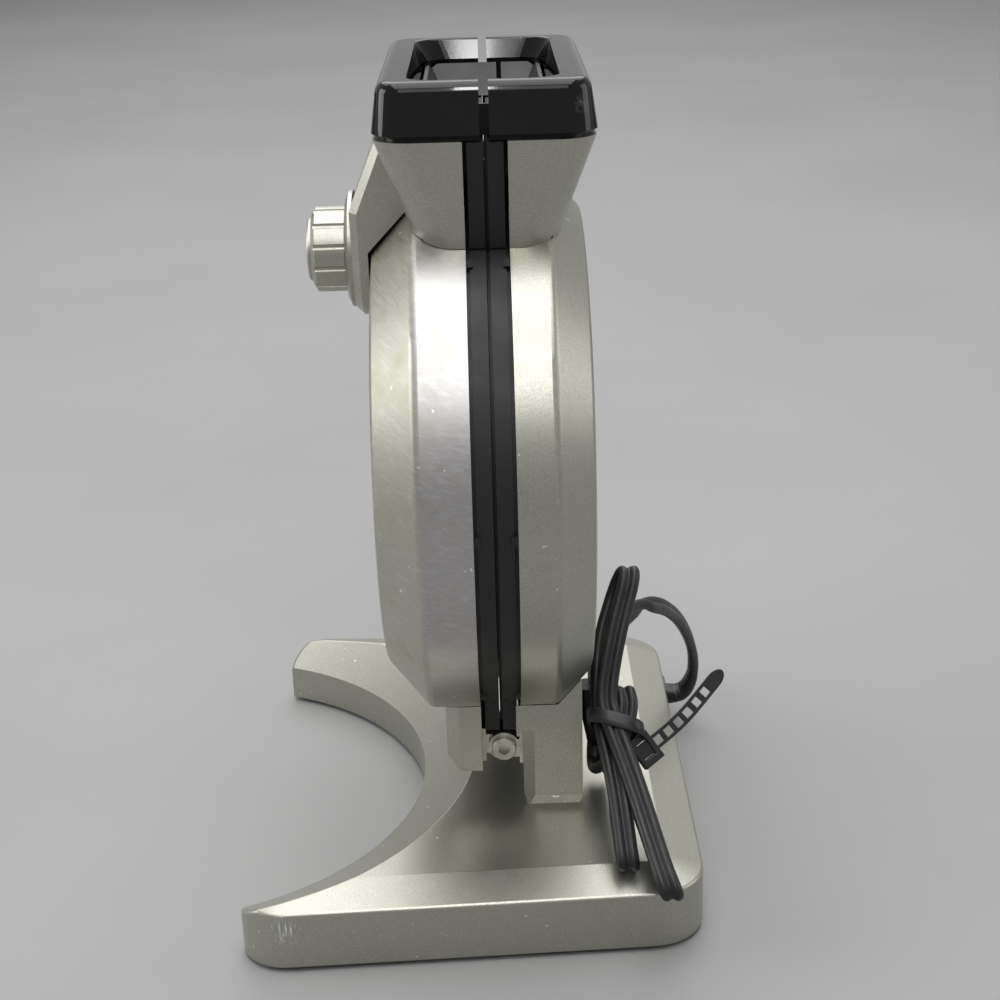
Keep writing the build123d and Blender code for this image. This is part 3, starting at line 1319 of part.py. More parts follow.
def make_plug_blades():
    blades = []
    for x in (-BLADE_GAP / 2, BLADE_GAP / 2):
        middle = (BLADE_LENGTH - BLADE_ROOT) / 2
        blade = Pos(x, 0, middle) * Box(BLADE_THICKNESS, BLADE_WIDTH, BLADE_LENGTH + BLADE_ROOT)
        blade = chamfer(blade.edges().filter_by(Axis.Y).group_by(Axis.Z)[-1], BLADE_TIP_CHAMFER)
        blades.append(plug_place() * blade)
    return Compound(children=blades)


def make_terminal_block():
    middle = column_middle()
    low = BASE_PLATEAU + COLUMN_FLOOR
    high = low + TERMINAL_HEIGHT
    depth = (middle - TERMINAL_HALF_DEPTH, middle + TERMINAL_HALF_DEPTH)
    body = block((-TERMINAL_HALF_WIDTH, TERMINAL_HALF_WIDTH), depth, (low, high))
    for x in (-TERMINAL_SCREW_X, TERMINAL_SCREW_X):
        body -= rod_z(TERMINAL_SCREW_RADIUS, low + TERMINAL_SCREW_FLOOR, high + CUT, x, middle)
    return body - rod_z(LEAD_DIAMETER / 2 + SEAM, low - CUT, low + TERMINAL_LEAD_DEPTH, 0, middle)


def make_inner_lead():
    """The lead inside the base, from the gland to the terminal block."""
    middle = column_middle()
    start = BASE_DEPTH / 2 - BASE_WALL - GLAND_FLANGE
    points = [(GLAND_X + x, start + y, GLAND_Z + z) for x, y, z in INNER_LEAD_STEPS]
    points += [(x, middle + y, GLAND_Z + z) for x, y, z in INNER_LEAD_TURN]
    points.append((0, middle, BASE_PLATEAU + COLUMN_FLOOR + TERMINAL_LEAD_DEPTH))
    return cord_tube(points, LEAD_DIAMETER, "inner lead")


# Build and write every piece

def main():
    pieces = {
        "base_shell": make_base_shell(),
        "base_bottom_plate": make_bottom_plate(),
        "base_feet": make_feet(),
        "base_plate_screws": make_plate_screws(),
        "column": make_column(),
        "column_screws": make_column_screws(),
        "terminal_block": make_terminal_block(),
        "inner_lead": make_inner_lead(),
        "hinge_bracket": make_fixed_bracket(),
        "hinge_pins": make_pins(),
        "hinge_bushes": make_bushes(),
        "hinge_knuckles": make_knuckles(),
        "hinge_arm": make_arm(),
        "front_cover": make_front_cover(),
        "rear_cover": make_rear_cover(),
        "front_neck": make_front_neck(),
        "control_housing": make_control_housing(),
        "dial_bezel": make_bezel(),
        "control_knob": make_knob(),
        "knob_cap": make_knob_cap(),
        "thermostat_shaft": make_shaft(),
        "thermostat_body": make_thermostat(),
        "indicator_lenses": make_lenses(),
        "indicator_board": make_board(),
        "cord_gland": make_gland(),
        "cord_lead": make_lead(),
        "cord_plug_lead": make_plug_lead(),
        "cord_hank": make_hank(),
        "cord_tie": make_tie(),
        "plug_body": make_plug_body(),
        "plug_blades": make_plug_blades(),
    }
    for name, side in (("front", -1), ("rear", 1)):
        pieces[name + "_rim"] = make_rim(side)
        pieces[name + "_rim_screws"] = make_rim_screws(side)
        pieces[name + "_waffle_plate"] = make_waffle_plate(side)
        pieces[name + "_heating_element"] = make_element(side)
        pieces[name + "_reflector"] = make_reflector(side)
        pieces[name + "_plate_screws"] = make_plate_boss_screws(side)
        pieces[name + "_handle"] = make_handle(side)
        pieces[name + "_handle_screws"] = make_handle_screws(side)
        pieces[name + "_pour_chute"] = make_chute(side)
    for name, shape in pieces.items():
        export_step(shape, "parts/" + name + ".step")


main()
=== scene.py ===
import json
import math

import bmesh
import bpy
from mathutils import Matrix, Vector


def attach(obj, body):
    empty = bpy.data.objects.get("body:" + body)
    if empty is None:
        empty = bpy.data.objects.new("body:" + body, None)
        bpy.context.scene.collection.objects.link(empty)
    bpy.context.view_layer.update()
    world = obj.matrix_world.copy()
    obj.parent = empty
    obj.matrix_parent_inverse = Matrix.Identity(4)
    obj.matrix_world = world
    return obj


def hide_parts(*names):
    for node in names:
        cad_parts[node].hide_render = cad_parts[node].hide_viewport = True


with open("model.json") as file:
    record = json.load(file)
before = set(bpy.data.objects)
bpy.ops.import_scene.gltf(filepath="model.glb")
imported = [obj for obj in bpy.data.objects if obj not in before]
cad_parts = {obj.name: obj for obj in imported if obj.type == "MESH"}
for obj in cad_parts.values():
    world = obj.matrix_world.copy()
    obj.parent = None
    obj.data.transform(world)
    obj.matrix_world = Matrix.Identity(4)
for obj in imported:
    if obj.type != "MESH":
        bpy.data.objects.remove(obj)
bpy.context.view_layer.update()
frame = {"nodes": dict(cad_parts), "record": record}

# Lengths are in metres, in the part's own frame: +Z is up and the front faces -Y.
MM = 0.001

# The camera stands where the photograph was taken, on the +X side
CAMERA_PLACE = Vector((0.6949, 0.0132, 0.4242))
CAMERA_YAW = 0.0028
CAMERA_PITCH = 0.3780
CAMERA_ROLL = 0.0275
CAMERA_LENS = 63.27
CAMERA_SENSOR = 36.0

# The lead: a flat twin cord, with a groove down the middle of each face
CORD_WIDTH = 0.009
CORD_THICKNESS = 0.0046
CORD_WEB = 0.0027
CORD_STEP = 0.0012
CORD_RESOLUTION = 24

# How far round each of its two conductors the skin runs before the groove, as a share of half a turn
TWIN_ARC = 0.755
TWIN_STEPS = 10

# The route of the lead from the gland in the base to the back of the hank
LEAD_POINTS = [
    (-0.0720, 0.0975, 0.0150),
    (-0.0720, 0.1010, 0.0152),
    (-0.0715, 0.1046, 0.0190),
    (-0.0694, 0.1068, 0.0265),
    (-0.0646, 0.1066, 0.0370),
    (-0.0564, 0.1042, 0.0495),
    (-0.0444, 0.0998, 0.0635),
    (-0.0290, 0.0938, 0.0780),
    (-0.0110, 0.0850, 0.0918),
    (0.0060, 0.0753, 0.0998),
    (0.0190, 0.0676, 0.1018),
    (0.0285, 0.0615, 0.0998),
    (0.0336, 0.0574, 0.0945),
    (0.0390, 0.0554, 0.0870),
]

# The route from the hank down and up again into the plug
PLUG_POINTS = [
    (0.0640, 0.0600, 0.0620),
    (0.0580, 0.0586, 0.0540),
    (0.0506, 0.0564, 0.0466),
    (0.0425, 0.0546, 0.0406),
    (0.0340, 0.0538, 0.0376),
    (0.0278, 0.0540, 0.0396),
    (0.0267, 0.0543, 0.0445),
]

# The hank's stations: a place on its middle line, and the stations below and above it
HANK_STATIONS = {
    "tip": ((0.0260, 0.0659, 0.1243), "neck", "tip"),
    "neck": ((0.0300, 0.0638, 0.1140), "upper", "tip"),
    "upper": ((0.0380, 0.0606, 0.0993), "tied", "neck"),
    "tied": ((0.0520, 0.0588, 0.0741), "near_mid", "upper"),
    "near_mid": ((0.0800, 0.0643, 0.0537), "near_low", "tied"),
    "near_low": ((0.1120, 0.0738, 0.0358), "near_end", "near_mid"),
    "near_end": ((0.1225, 0.0772, 0.0308), "near_end", "near_low"),
    "far_mid": ((0.0820, 0.0586, 0.0520), "far_low", "tied"),
    "far_low": ((0.1010, 0.0602, 0.0385), "far_end", "far_mid"),
    "far_end": ((0.1070, 0.0609, 0.0345), "far_end", "far_low"),
}
HANK_FACING = Vector((0.93, 0.0, 0.37)).normalized()

# The hank's runs: for each place the station and how far it lies rear, near and up of it, in millimetres
HANK_RUNS = [
    [
        ("tied", -4.2, -1.4, 6), ("tied", -4.2, -1.6, -4),
        ("near_mid", 2.0, -7.0, 0), ("near_low", 0.4, -4.8, 0),
    ],
    [
        ("near_low", 0.4, 4.8, 0), ("near_mid", 2.0, 7.0, 0), ("tied", -1.4, 8.2, -5),
        ("tied", -2.4, 8.0, 5), ("upper", -0.2, 7.0, 0), ("neck", 1.4, 5.2, 0),
    ],
    [
        ("neck", -1.5, -4.5, 0), ("upper", -4.0, -3.0, 0), ("tied", -4.0, 3.2, 6),
        ("tied", -4.0, 3.2, -6), ("far_mid", 0.6, 5.0, 0), ("far_low", 0.6, 3.2, 0),
    ],
    [("far_low", 0.6, -3.2, 0), ("far_mid", 0.6, -5.0, 0), ("tied", 4.0, -1.4, -7), ("tied", 6.2, -1.0, 1)],
    [("tied", 6.6, 4.0, 1), ("tied", 4.2, 3.4, -8)],
]
# Where each fold between two of those runs turns back
HANK_FOLDS = [("near_end", 0, 0, 0), ("tip", 1.6, 0, 1.5), ("far_end", 0.6, 0, 0), ("tied", 5.8, 1.5, 7.5)]
FOLD_POINTS = 5

# Which way the lead's width points: lying flat where it leaves the base, standing on edge and in the hank
WIDTH_LYING = Vector((1, 0, 0))
WIDTH_ON_EDGE = Vector((0.3, -0.3, 0.9))
WIDTH_IN_HANK = Vector((0, -1, 0))

# How far along the lead, in metres, the first ends, the second is reached and the third starts
WIDTH_TURNS = (0.115, 0.150, 0.172)

# The strain relief where the lead leaves the base
RELIEF_LENGTH = 0.022
RELIEF_ROOT = (0.0112, 0.0074)
RELIEF_SLACK = 0.0006
RELIEF_RIBS = 7
RELIEF_RIB_HEIGHT = 0.00035
RELIEF_STEP = CORD_STEP / 2
RELIEF_SQUARENESS = 0.7
RELIEF_SIDES = 20
RELIEF_CRISP_ANGLE = 60

# Corners sharper than this stay crisp, in degrees
CRISP_ANGLE = 50


def mesh_object(name, mesh):
    piece = bpy.data.objects.new(name, mesh)
    bpy.context.scene.collection.objects.link(piece)
    return piece


def from_bmesh(name, bm):
    bmesh.ops.recalc_face_normals(bm, faces=bm.faces)
    mesh = bpy.data.meshes.new(name)
    bm.to_mesh(mesh)
    bm.free()
    return mesh_object(name, mesh)


def smooth(piece, angle=CRISP_ANGLE):
    """Shade smooth, but keep corners sharper than the angle."""
    piece.data.shade_smooth()
    piece.data.set_sharp_from_angle(angle=math.radians(angle))
    return piece


def soften_edges(piece, radius, segments, **settings):
    bevel = piece.modifiers.new("soft_edges", "BEVEL")
    bevel.width = radius
    bevel.segments = segments
    for key, value in settings.items():
        setattr(bevel, key, value)


def squarish(angle, squareness):
    """A place on a rounded square that reaches 1 each way."""
    x, y = math.cos(angle), math.sin(angle)
    return math.copysign(abs(x) ** squareness, x), math.copysign(abs(y) ** squareness, y)


# The camera

def make_camera():
    data = bpy.data.cameras.new("camera")
    data.lens = CAMERA_LENS
    data.sensor_width = CAMERA_SENSOR
    data.clip_start = 0.01
    camera = mesh_object("camera", data)
    flat = math.cos(CAMERA_PITCH)
    forward = Vector((-flat * math.cos(CAMERA_YAW), flat * math.sin(CAMERA_YAW), -math.sin(CAMERA_PITCH)))
    level = forward.cross(Vector((0, 0, 1))).normalized()
    upright = level.cross(forward)
    cos_roll, sin_roll = math.cos(CAMERA_ROLL), math.sin(CAMERA_ROLL)
    right = level * cos_roll - upright * sin_roll
    up = level * sin_roll + upright * cos_roll
    turn = Matrix((right, up, -forward)).transposed().to_4x4()
    camera.matrix_world = Matrix.Translation(CAMERA_PLACE) @ turn
    bpy.context.scene.camera = camera


# The lead, as one open spline

def at_station(name, rear, near, up):
    """A place beside a station of the hank, in millimetres towards the rear, the camera's side and up."""
    place, below, above = HANK_STATIONS[name]
    along = (Vector(HANK_STATIONS[above][0]) - Vector(HANK_STATIONS[below][0])).normalized()
    facing = (HANK_FACING - along * HANK_FACING.dot(along)).normalized()
    across = facing.cross(along)
    if across.y < 0:
        across = -across
    return Vector(place) + (across * rear + facing * near + along * up) * MM


def fold(start, end, turn, count):
    """Points of a half turn from start to end by way of the place where it turns back."""
    middle = (start + end) / 2
    points = []
    for i in range(1, count + 1):
        angle = math.pi * i / (count + 1)
        points.append(middle + (start - middle) * math.cos(angle) + (turn - middle) * math.sin(angle))
    return points


def hank_points():
    runs = [[at_station(*place) for place in run] for run in HANK_RUNS]
    points = list(runs[0])
    for before, after, turn in zip(runs, runs[1:], HANK_FOLDS):
        points += fold(before[-1], after[0], at_station(*turn), FOLD_POINTS)
        points += after
    return points


def spline_points(points, resolution):
    """The smooth line that a NURBS spline makes from these control points."""
    curve = bpy.data.curves.new("route", "CURVE")
    curve.dimensions = "3D"
    curve.resolution_u = resolution
    spline = curve.splines.new("NURBS")
    spline.points.add(len(points) - 1)
    for point, place in zip(spline.points, points):
        point.co = (*place, 1.0)
    spline.order_u = 3
    spline.use_endpoint_u = True
    holder = mesh_object("route", curve)
    mesh = bpy.data.meshes.new_from_object(holder)
    line = [v.co.copy() for v in mesh.vertices]
    bpy.data.objects.remove(holder)
    bpy.data.meshes.remove(mesh)
    return line


def even_steps(line, step):
    """The same line with points one step apart."""
    points = [line[0]]
    left = step
    for a, b in zip(line, line[1:]):
        length = (b - a).length
        done = 0.0
        while length - done >= left:
            done += left
            points.append(a.lerp(b, done / length))
            left = step
        left -= length - done
    if (points[-1] - line[-1]).length > step / 3:
        points.append(line[-1])
    return points


def tangents(line):
    ends = [line[0]] + line + [line[-1]]
    return [(after - before).normalized() for before, after in zip(ends, ends[2:])]


def width_ways(line, hints):
    """Which way the flat cord's width points, from (place on the line from 0 to 1, way) hints."""
    ways = []
    total = len(line) - 1
    for i, along in enumerate(tangents(line)):
        share = i / total
        after = next(k for k, hint in enumerate(hints) if hint[0] >= share or k == len(hints) - 1)
        before = max(after - 1, 0)
        span = hints[after][0] - hints[before][0]
        part = (share - hints[before][0]) / span if span else 0.0
        way = Vector(hints[before][1]).lerp(Vector(hints[after][1]), min(max(part, 0.0), 1.0))
        ways.append((way - along * way.dot(along)).normalized())
    return ways


def swept(name, line, ways, outlines, closed=False):
    """A tube along a line: one outline of (across, thick) points for each of its points."""
    bm = bmesh.new()
    rings = []
    for place, along, way, outline in zip(line, tangents(line), ways, outlines):
        depth = along.cross(way)
        rings.append([bm.verts.new(place + way * x + depth * y) for x, y in outline])
    pairs = list(zip(rings, rings[1:]))
    if closed:
        pairs.append((rings[-1], rings[0]))
    for a, b in pairs:
        for i in range(len(a)):
            j = (i + 1) % len(a)
            bm.faces.new((a[i], a[j], b[j], b[i]))
    if not closed:
        bm.faces.new(list(reversed(rings[0])))
        bm.faces.new(rings[-1])
    return from_bmesh(name, bm)


def twin_outline(width, thickness, web):
    """Two round conductors side by side, with a groove between them on both faces."""
    radius = thickness / 2
    middle = width / 2 - radius
    points = []
    for side in (1, -1):
        for i in range(TWIN_STEPS + 1):
            angle = TWIN_ARC * math.pi * (2 * i / TWIN_STEPS - 1)
            points.append((side * (middle + radius * math.cos(angle)), side * radius * math.sin(angle)))
        points.append((0.0, side * web / 2))
    return points


def oval_outline(width, thickness):
    """A flat oval section, squarer than an ellipse."""
    points = []
    for i in range(RELIEF_SIDES):
        x, y = squarish(2 * math.pi * i / RELIEF_SIDES, RELIEF_SQUARENESS)
        points.append((x * width / 2, y * thickness / 2))
    return points


def cord_line():
    points = [Vector(p) for p in LEAD_POINTS] + hank_points() + [Vector(p) for p in PLUG_POINTS]
    return even_steps(spline_points(points, CORD_RESOLUTION), CORD_STEP)


def length_of(line):
    return sum((b - a).length for a, b in zip(line, line[1:]))


def cord_hints(line):
    """The lead leaves the base flat side up, turns on its way and lies flat side out in the hank."""
    total = length_of(line)
    lying_until, on_edge, in_hank_from = [distance / total for distance in WIDTH_TURNS]
    return [
        (0.0, WIDTH_LYING),
        (lying_until, WIDTH_LYING),
        (on_edge, WIDTH_ON_EDGE),
        (in_hank_from, WIDTH_IN_HANK),
        (1.0, WIDTH_IN_HANK),
    ]


def make_cord(line, ways):
    outline = twin_outline(CORD_WIDTH, CORD_THICKNESS, CORD_WEB)
    return smooth(swept("mains_lead", line, ways, [outline] * len(line)))


def make_relief(line, ways):
    """A tapered, ribbed sleeve on the first stretch of the lead."""
    stretch = line[:int(RELIEF_LENGTH / CORD_STEP) + 2]
    fine = even_steps(stretch, RELIEF_STEP)[:int(RELIEF_LENGTH / RELIEF_STEP)]
    root_width, root_thickness = RELIEF_ROOT
    outlines = []
    for i in range(len(fine)):
        share = i / (len(fine) - 1)
        rib = RELIEF_RIB_HEIGHT * max(0.0, math.sin(share * RELIEF_RIBS * 2 * math.pi)) * (1 - share)
        width = root_width + (CORD_WIDTH + RELIEF_SLACK - root_width) * share + rib
        thickness = root_thickness + (CORD_THICKNESS + RELIEF_SLACK - root_thickness) * share + rib
        outlines.append(oval_outline(width, thickness))
    return smooth(swept("strain_relief", fine, ways[:1] * len(fine), outlines), RELIEF_CRISP_ANGLE)


# The tie round the hank: a strap, its buckle and the ladder tail that stands off it

TIE_WIDTH = 0.0062
TIE_SHEET = 0.0012
TIE_PLACE = (0.8, 3.6, -7.0)
TIE_HALF = (10.8, 8.2)
TIE_SLOPE = math.radians(-21)
TIE_COUNT = 72
TIE_SQUARENESS = 0.72
TAIL_POINTS = [
    (0.0660, 0.0678, 0.0598),
    (0.0640, 0.0716, 0.0618),
    (0.0600, 0.0790, 0.0655),
    (0.0550, 0.0880, 0.0710),
    (0.0490, 0.0965, 0.0782),
    (0.0420, 0.1055, 0.0858),
]
TAIL_RESOLUTION = 16
TAIL_STEP = 0.0004
TAIL_TIP = 0.9 * TIE_WIDTH
TAIL_TIP_LEAST = 0.1
TAIL_HOLE = 0.0036
TAIL_PITCH = 0.0056
TAIL_HOLES_FROM = 0.0100
TAIL_HOLES = 6
TAIL_RAIL = 0.0013
TAIL_RAIL_GAP_LEAST = 0.2
TAIL_EDGE_RADIUS = 0.0002
BUCKLE_SIZE = (0.0100, 0.0135, 0.0034)
BUCKLE_HOLE_SHARE = 0.52
BUCKLE_EDGE_RADIUS = 0.0006
STRAP_CORNER = 0.3


def strip_outline(width, sheet):
    """A flat strap's section with softened edges."""
    x, y = width / 2, sheet / 2
    cut = sheet * STRAP_CORNER
    corners = [(x, y - cut), (x - cut, y), (-x + cut, y), (-x, y - cut)]
    return corners + [(-a, -b) for a, b in corners]


def tie_axes():
    """The strap's middle, and which way is rear, near and up the hank there."""
    here = at_station("tied", 0, 0, 0)
    ways = [(at_station("tied", *step) - here).normalized() for step in ((1, 0, 0), (0, 1, 0), (0, 0, 1))]
    return at_station("tied", *TIE_PLACE), *ways


def tie_loop():
    """The closed line of the strap, which slopes down towards the rear."""
    centre, across, facing, along = tie_axes()
    line = []
    for i in range(TIE_COUNT):
        x, y = squarish(2 * math.pi * i / TIE_COUNT, TIE_SQUARENESS)
        x *= TIE_HALF[0]
        y *= TIE_HALF[1]
        line.append(centre + (across * x + facing * y + along * x * math.tan(TIE_SLOPE)) * MM)
    return line, along


def make_tie_band():
    """The strap, a flat band whose width points up the hank."""
    line, along = tie_loop()
    loop = [line[-1]] + line + [line[0]]
    ways = []
    for before, after in zip(loop, loop[2:]):
        direction = (after - before).normalized()
        ways.append((along - direction * along.dot(direction)).normalized())
    outline = strip_outline(TIE_WIDTH, TIE_SHEET)
    return smooth(swept("cord_tie_band", line, ways, [outline] * len(line), closed=True))


def tail_half_width(done, length):
    """The tail is straight, then narrows to a round tip."""
    gone = max(0.0, 1 - (length - done) / TAIL_TIP)
    return TIE_WIDTH / 2 * max(math.sqrt(max(1 - gone ** 2, 0.0)), TAIL_TIP_LEAST)


def in_hole(done):
    start = done - TAIL_HOLES_FROM
    return 0 <= start < TAIL_HOLES * TAIL_PITCH and start % TAIL_PITCH < TAIL_HOLE


def make_tie_tail():
    """The ladder strap: two rails with rungs, cut out of one sheet."""
    line = even_steps(spline_points([Vector(p) for p in TAIL_POINTS], TAIL_RESOLUTION), TAIL_STEP)
    bm = bmesh.new()
    length = length_of(line)
    rows = []
    for i, (place, along) in enumerate(zip(line, tangents(line))):
        side = along.cross(HANK_FACING).normalized()
        out = side.cross(along).normalized() * TIE_SHEET / 2
        half = tail_half_width(i * TAIL_STEP, length)
        inner = max(half - TAIL_RAIL, half * TAIL_RAIL_GAP_LEAST)
        marks = [-half, -inner, inner, half]
        rows.append([[bm.verts.new(place + side * m + out * s) for m in marks] for s in (1, -1)])
    for i, (a, b) in enumerate(zip(rows, rows[1:])):
        open_here = in_hole(i * TAIL_STEP)
        open_before = in_hole((i - 1) * TAIL_STEP)
        for k in range(3):
            if k == 1 and open_here:
                continue
            bm.faces.new((a[0][k], a[0][k + 1], b[0][k + 1], b[0][k]))
            bm.faces.new((a[1][k + 1], a[1][k], b[1][k], b[1][k + 1]))
        walls = [0, 3] + ([1, 2] if open_here else [])
        for k in walls:
            bm.faces.new((a[0][k], b[0][k], b[1][k], a[1][k]))
        if open_here != open_before:
            bm.faces.new((a[0][1], a[0][2], a[1][2], a[1][1]))
    for row in (rows[0], rows[-1]):
        for k in range(3):
            bm.faces.new((row[0][k], row[0][k + 1], row[1][k + 1], row[1][k]))
    piece = from_bmesh("cord_tie_tail", bm)
    soften_edges(piece, TAIL_EDGE_RADIUS, 2, limit_method="ANGLE")
    return smooth(piece)


def make_tie_buckle():
    """The small block that the tail is threaded through, open in its middle."""
    outer = [c / 2 for c in BUCKLE_SIZE]
    tail = Vector(TAIL_POINTS[1])
    run = (Vector(TAIL_POINTS[3]) - tail).normalized()
    side = run.cross(HANK_FACING).normalized()
    out = side.cross(run).normalized()
    bm = bmesh.new()
    rings = []
    for z in (-outer[2], outer[2]):
        for share in (1.0, BUCKLE_HOLE_SHARE):
            corners = [(-1, -1), (1, -1), (1, 1), (-1, 1)]
            ring = []
            for x, y in corners:
                place = tail + run * (x * outer[0] * share) + side * (y * outer[1] * share) + out * z
                ring.append(bm.verts.new(place))
            rings.append(ring)
    low_out, low_in, high_out, high_in = rings
    for i in range(4):
        j = (i + 1) % 4
        bm.faces.new((low_out[i], low_out[j], low_in[j], low_in[i]))
        bm.faces.new((high_in[i], high_in[j], high_out[j], high_out[i]))
        bm.faces.new((low_out[j], low_out[i], high_out[i], high_out[j]))
        bm.faces.new((low_in[i], low_in[j], high_in[j], high_in[i]))
    piece = from_bmesh("cord_tie_buckle", bm)
    soften_edges(piece, BUCKLE_EDGE_RADIUS, 3)
    return smooth(piece)


# Materials

# Most of a noise's values lie between these two
NOISE_LOW = 0.3
NOISE_HIGH = 0.7

# Tints, as shares of red, green and blue
NEUTRAL = (1.0, 1.0, 1.0)
CHAMPAGNE = (1.0, 0.985, 0.87)
PLASTIC_TINT = (0.92, 0.98, 1.1)
RUBBER_TINT = (0.9, 0.98, 1.1)
DUST_TINT = (0.95, 0.98, 1.0)
STEEL_SHADE_TINT = (1.0, 0.985, 0.95)
STEEL_STAIN_TINT = (1.0, 0.98, 0.84)
# The next two tints are painted reflections on the one piece of brushed steel: a faintly purple one on the
# band and a warm one on the sloping rim
STEEL_BAND_PAINTED_REFLECTION = (1.0, 0.985, 0.99)
STEEL_RIM_PAINTED_REFLECTION = (1.0, 0.985, 0.88)

# Marks of use: a scuff on the base and a smudge on the handle, with their places, widths and tones, and dust
SCUFF_PLACE = (0.1222, -0.0738, 0.0190)
SCUFF_REACH = 0.0075
SCUFF_TONE = 0.85
SCUFF_STRETCH = (1.0, 1.0, 0.12)
SMUDGE_PLACE = (0.0680, 0.0505, 0.3248)
SMUDGE_REACH = 0.0056
SMUDGE_TONE = 0.22
DUST_TONE = 0.8

# A mark is gone at the first of these shares of its reach and full at the second
MARK_FADE = (1.5, 0.8)

# Metallic paint: the tones of its clouds, flakes and pits, as shares of its own level
PAINT_CLOUD_TONES = (0.96, 1.04)
PAINT_FLAKE_TONE = 1.45
PAINT_PIT_TONE = 0.6

# Brushed steel: the tones of its grain, strokes and stains, as shares of its own level
STEEL_GRAIN_TONES = (0.92, 1.05)
STEEL_STROKE_TONE = 1.2
STEEL_STAIN_TONE = 0.9

# Where the front cover's band ends and its sloping rim starts, and so where the painted reflection tint
# changes, and how far that line wanders
STEEL_RIM_Y = -0.0153
STEEL_RIM_WANDER = 0.006

# How far behind that line the rim's warm painted reflection tint starts, and how far behind it that tint is
# full
STEEL_RIM_REFLECTION_FADE = (0.0038, 0.0022)

# The steel was brushed at a slant: the turn of its grain, and the stretch of the grain and of the strokes
BRUSH_TURN = (math.radians(17), 0, 0)
GRAIN_STRETCH = (0.04, 0.16, 1.0)
STROKE_STRETCH = (0.2, 0.3, 1.0)

# What is left of bare metal's red, green and blue where it is tarnished
TARNISH_SHARES = (0.72, 0.7, 0.68)


def material(name):
    """A new material with its node tree and its shader."""
    made = bpy.data.materials.new(name)
    made.use_nodes = True
    return made, made.node_tree, made.node_tree.nodes["Principled BSDF"]


def node(tree, kind, settings=None, **inputs):
    """A node with its inputs set or linked; _0, _1 and so on are inputs by number."""
    made = tree.nodes.new(kind)
    for key, value in (settings or {}).items():
        setattr(made, key, value)
    for key, value in inputs.items():
        socket = made.inputs[int(key[1:])] if key[0] == "_" else made.inputs[key.replace("_", " ")]
        if isinstance(value, bpy.types.NodeSocket):
            tree.links.new(value, socket)
        else:
            socket.default_value = value
    return made


def calculated(tree, operation, *values):
    """One step of arithmetic on numbers or sockets."""
    inputs = {"_%d" % i: value for i, value in enumerate(values)}
    return node(tree, "ShaderNodeMath", {"operation": operation}, **inputs).outputs[0]


def object_place(tree):
    return node(tree, "ShaderNodeTexCoord").outputs["Object"]


def stretched(tree, vector, stretch):
    return node(tree, "ShaderNodeMapping", Vector=vector, Scale=stretch).outputs["Vector"]


def noise_at(tree, vector, scale, detail, rough=0.5):
    texture = node(tree, "ShaderNodeTexNoise", Vector=vector, Scale=scale, Detail=detail, Roughness=rough)
    return texture.outputs["Fac"]


def noise(tree, scale, detail, rough=0.5, stretch=(1.0, 1.0, 1.0)):
    return noise_at(tree, stretched(tree, object_place(tree), stretch), scale, detail, rough)


def spread(tree, value, low, high, out_low=0.0, out_high=1.0):
    """Map a value from one range to another, clamped."""
    made = node(tree, "ShaderNodeMapRange", Value=value)
    for index, number in ((1, low), (2, high), (3, out_low), (4, out_high)):
        made.inputs[index].default_value = number
    return made.outputs["Result"]


def patches(tree, scale, detail, low=0.0, high=1.0):
    """Soft patches all over, from one value to another."""
    return spread(tree, noise(tree, scale, detail), NOISE_LOW, NOISE_HIGH, low, high)


def mixed(tree, factor, a, b, mode="MIX"):
    made = tree.nodes.new("ShaderNodeMix")
    made.data_type = "RGBA"
    made.blend_type = mode
    for index, value in ((0, factor), (6, a), (7, b)):
        if isinstance(value, bpy.types.NodeSocket):
            tree.links.new(value, made.inputs[index])
        else:
            made.inputs[index].default_value = value
    return made.outputs[2]


def link_colour(tree, shader, colour):
    tree.links.new(colour, shader.inputs["Base Color"])


def link_roughness(tree, shader, roughness):
    tree.links.new(roughness, shader.inputs["Roughness"])


def bump(tree, shader, height, strength, distance):
    made = node(tree, "ShaderNodeBump", Height=height, Strength=strength, Distance=distance)
    tree.links.new(made.outputs["Normal"], shader.inputs["Normal"])


def grey(level, tint=NEUTRAL):
    return (level * tint[0], level * tint[1], level * tint[2], 1.0)


def near_place(tree, place, reach):
    """1 at a place on the object, falling to 0 around it with a ragged edge."""
    apart = node(tree, "ShaderNodeVectorMath", {"operation": "DISTANCE"}, _0=object_place(tree), _1=place)
    edge = noise(tree, scale=420, detail=3)
    ragged = calculated(tree, "MULTIPLY_ADD", edge, reach, apart.outputs["Value"])
    gone, full = MARK_FADE
    return spread(tree, ragged, low=reach * gone, high=reach * full)


def dusted(tree, colour):
    """A few pale specks of dust."""
    specks = spread(tree, noise(tree, scale=330, detail=1), low=0.775, high=0.79)
    return mixed(tree, specks, colour, grey(DUST_TONE))


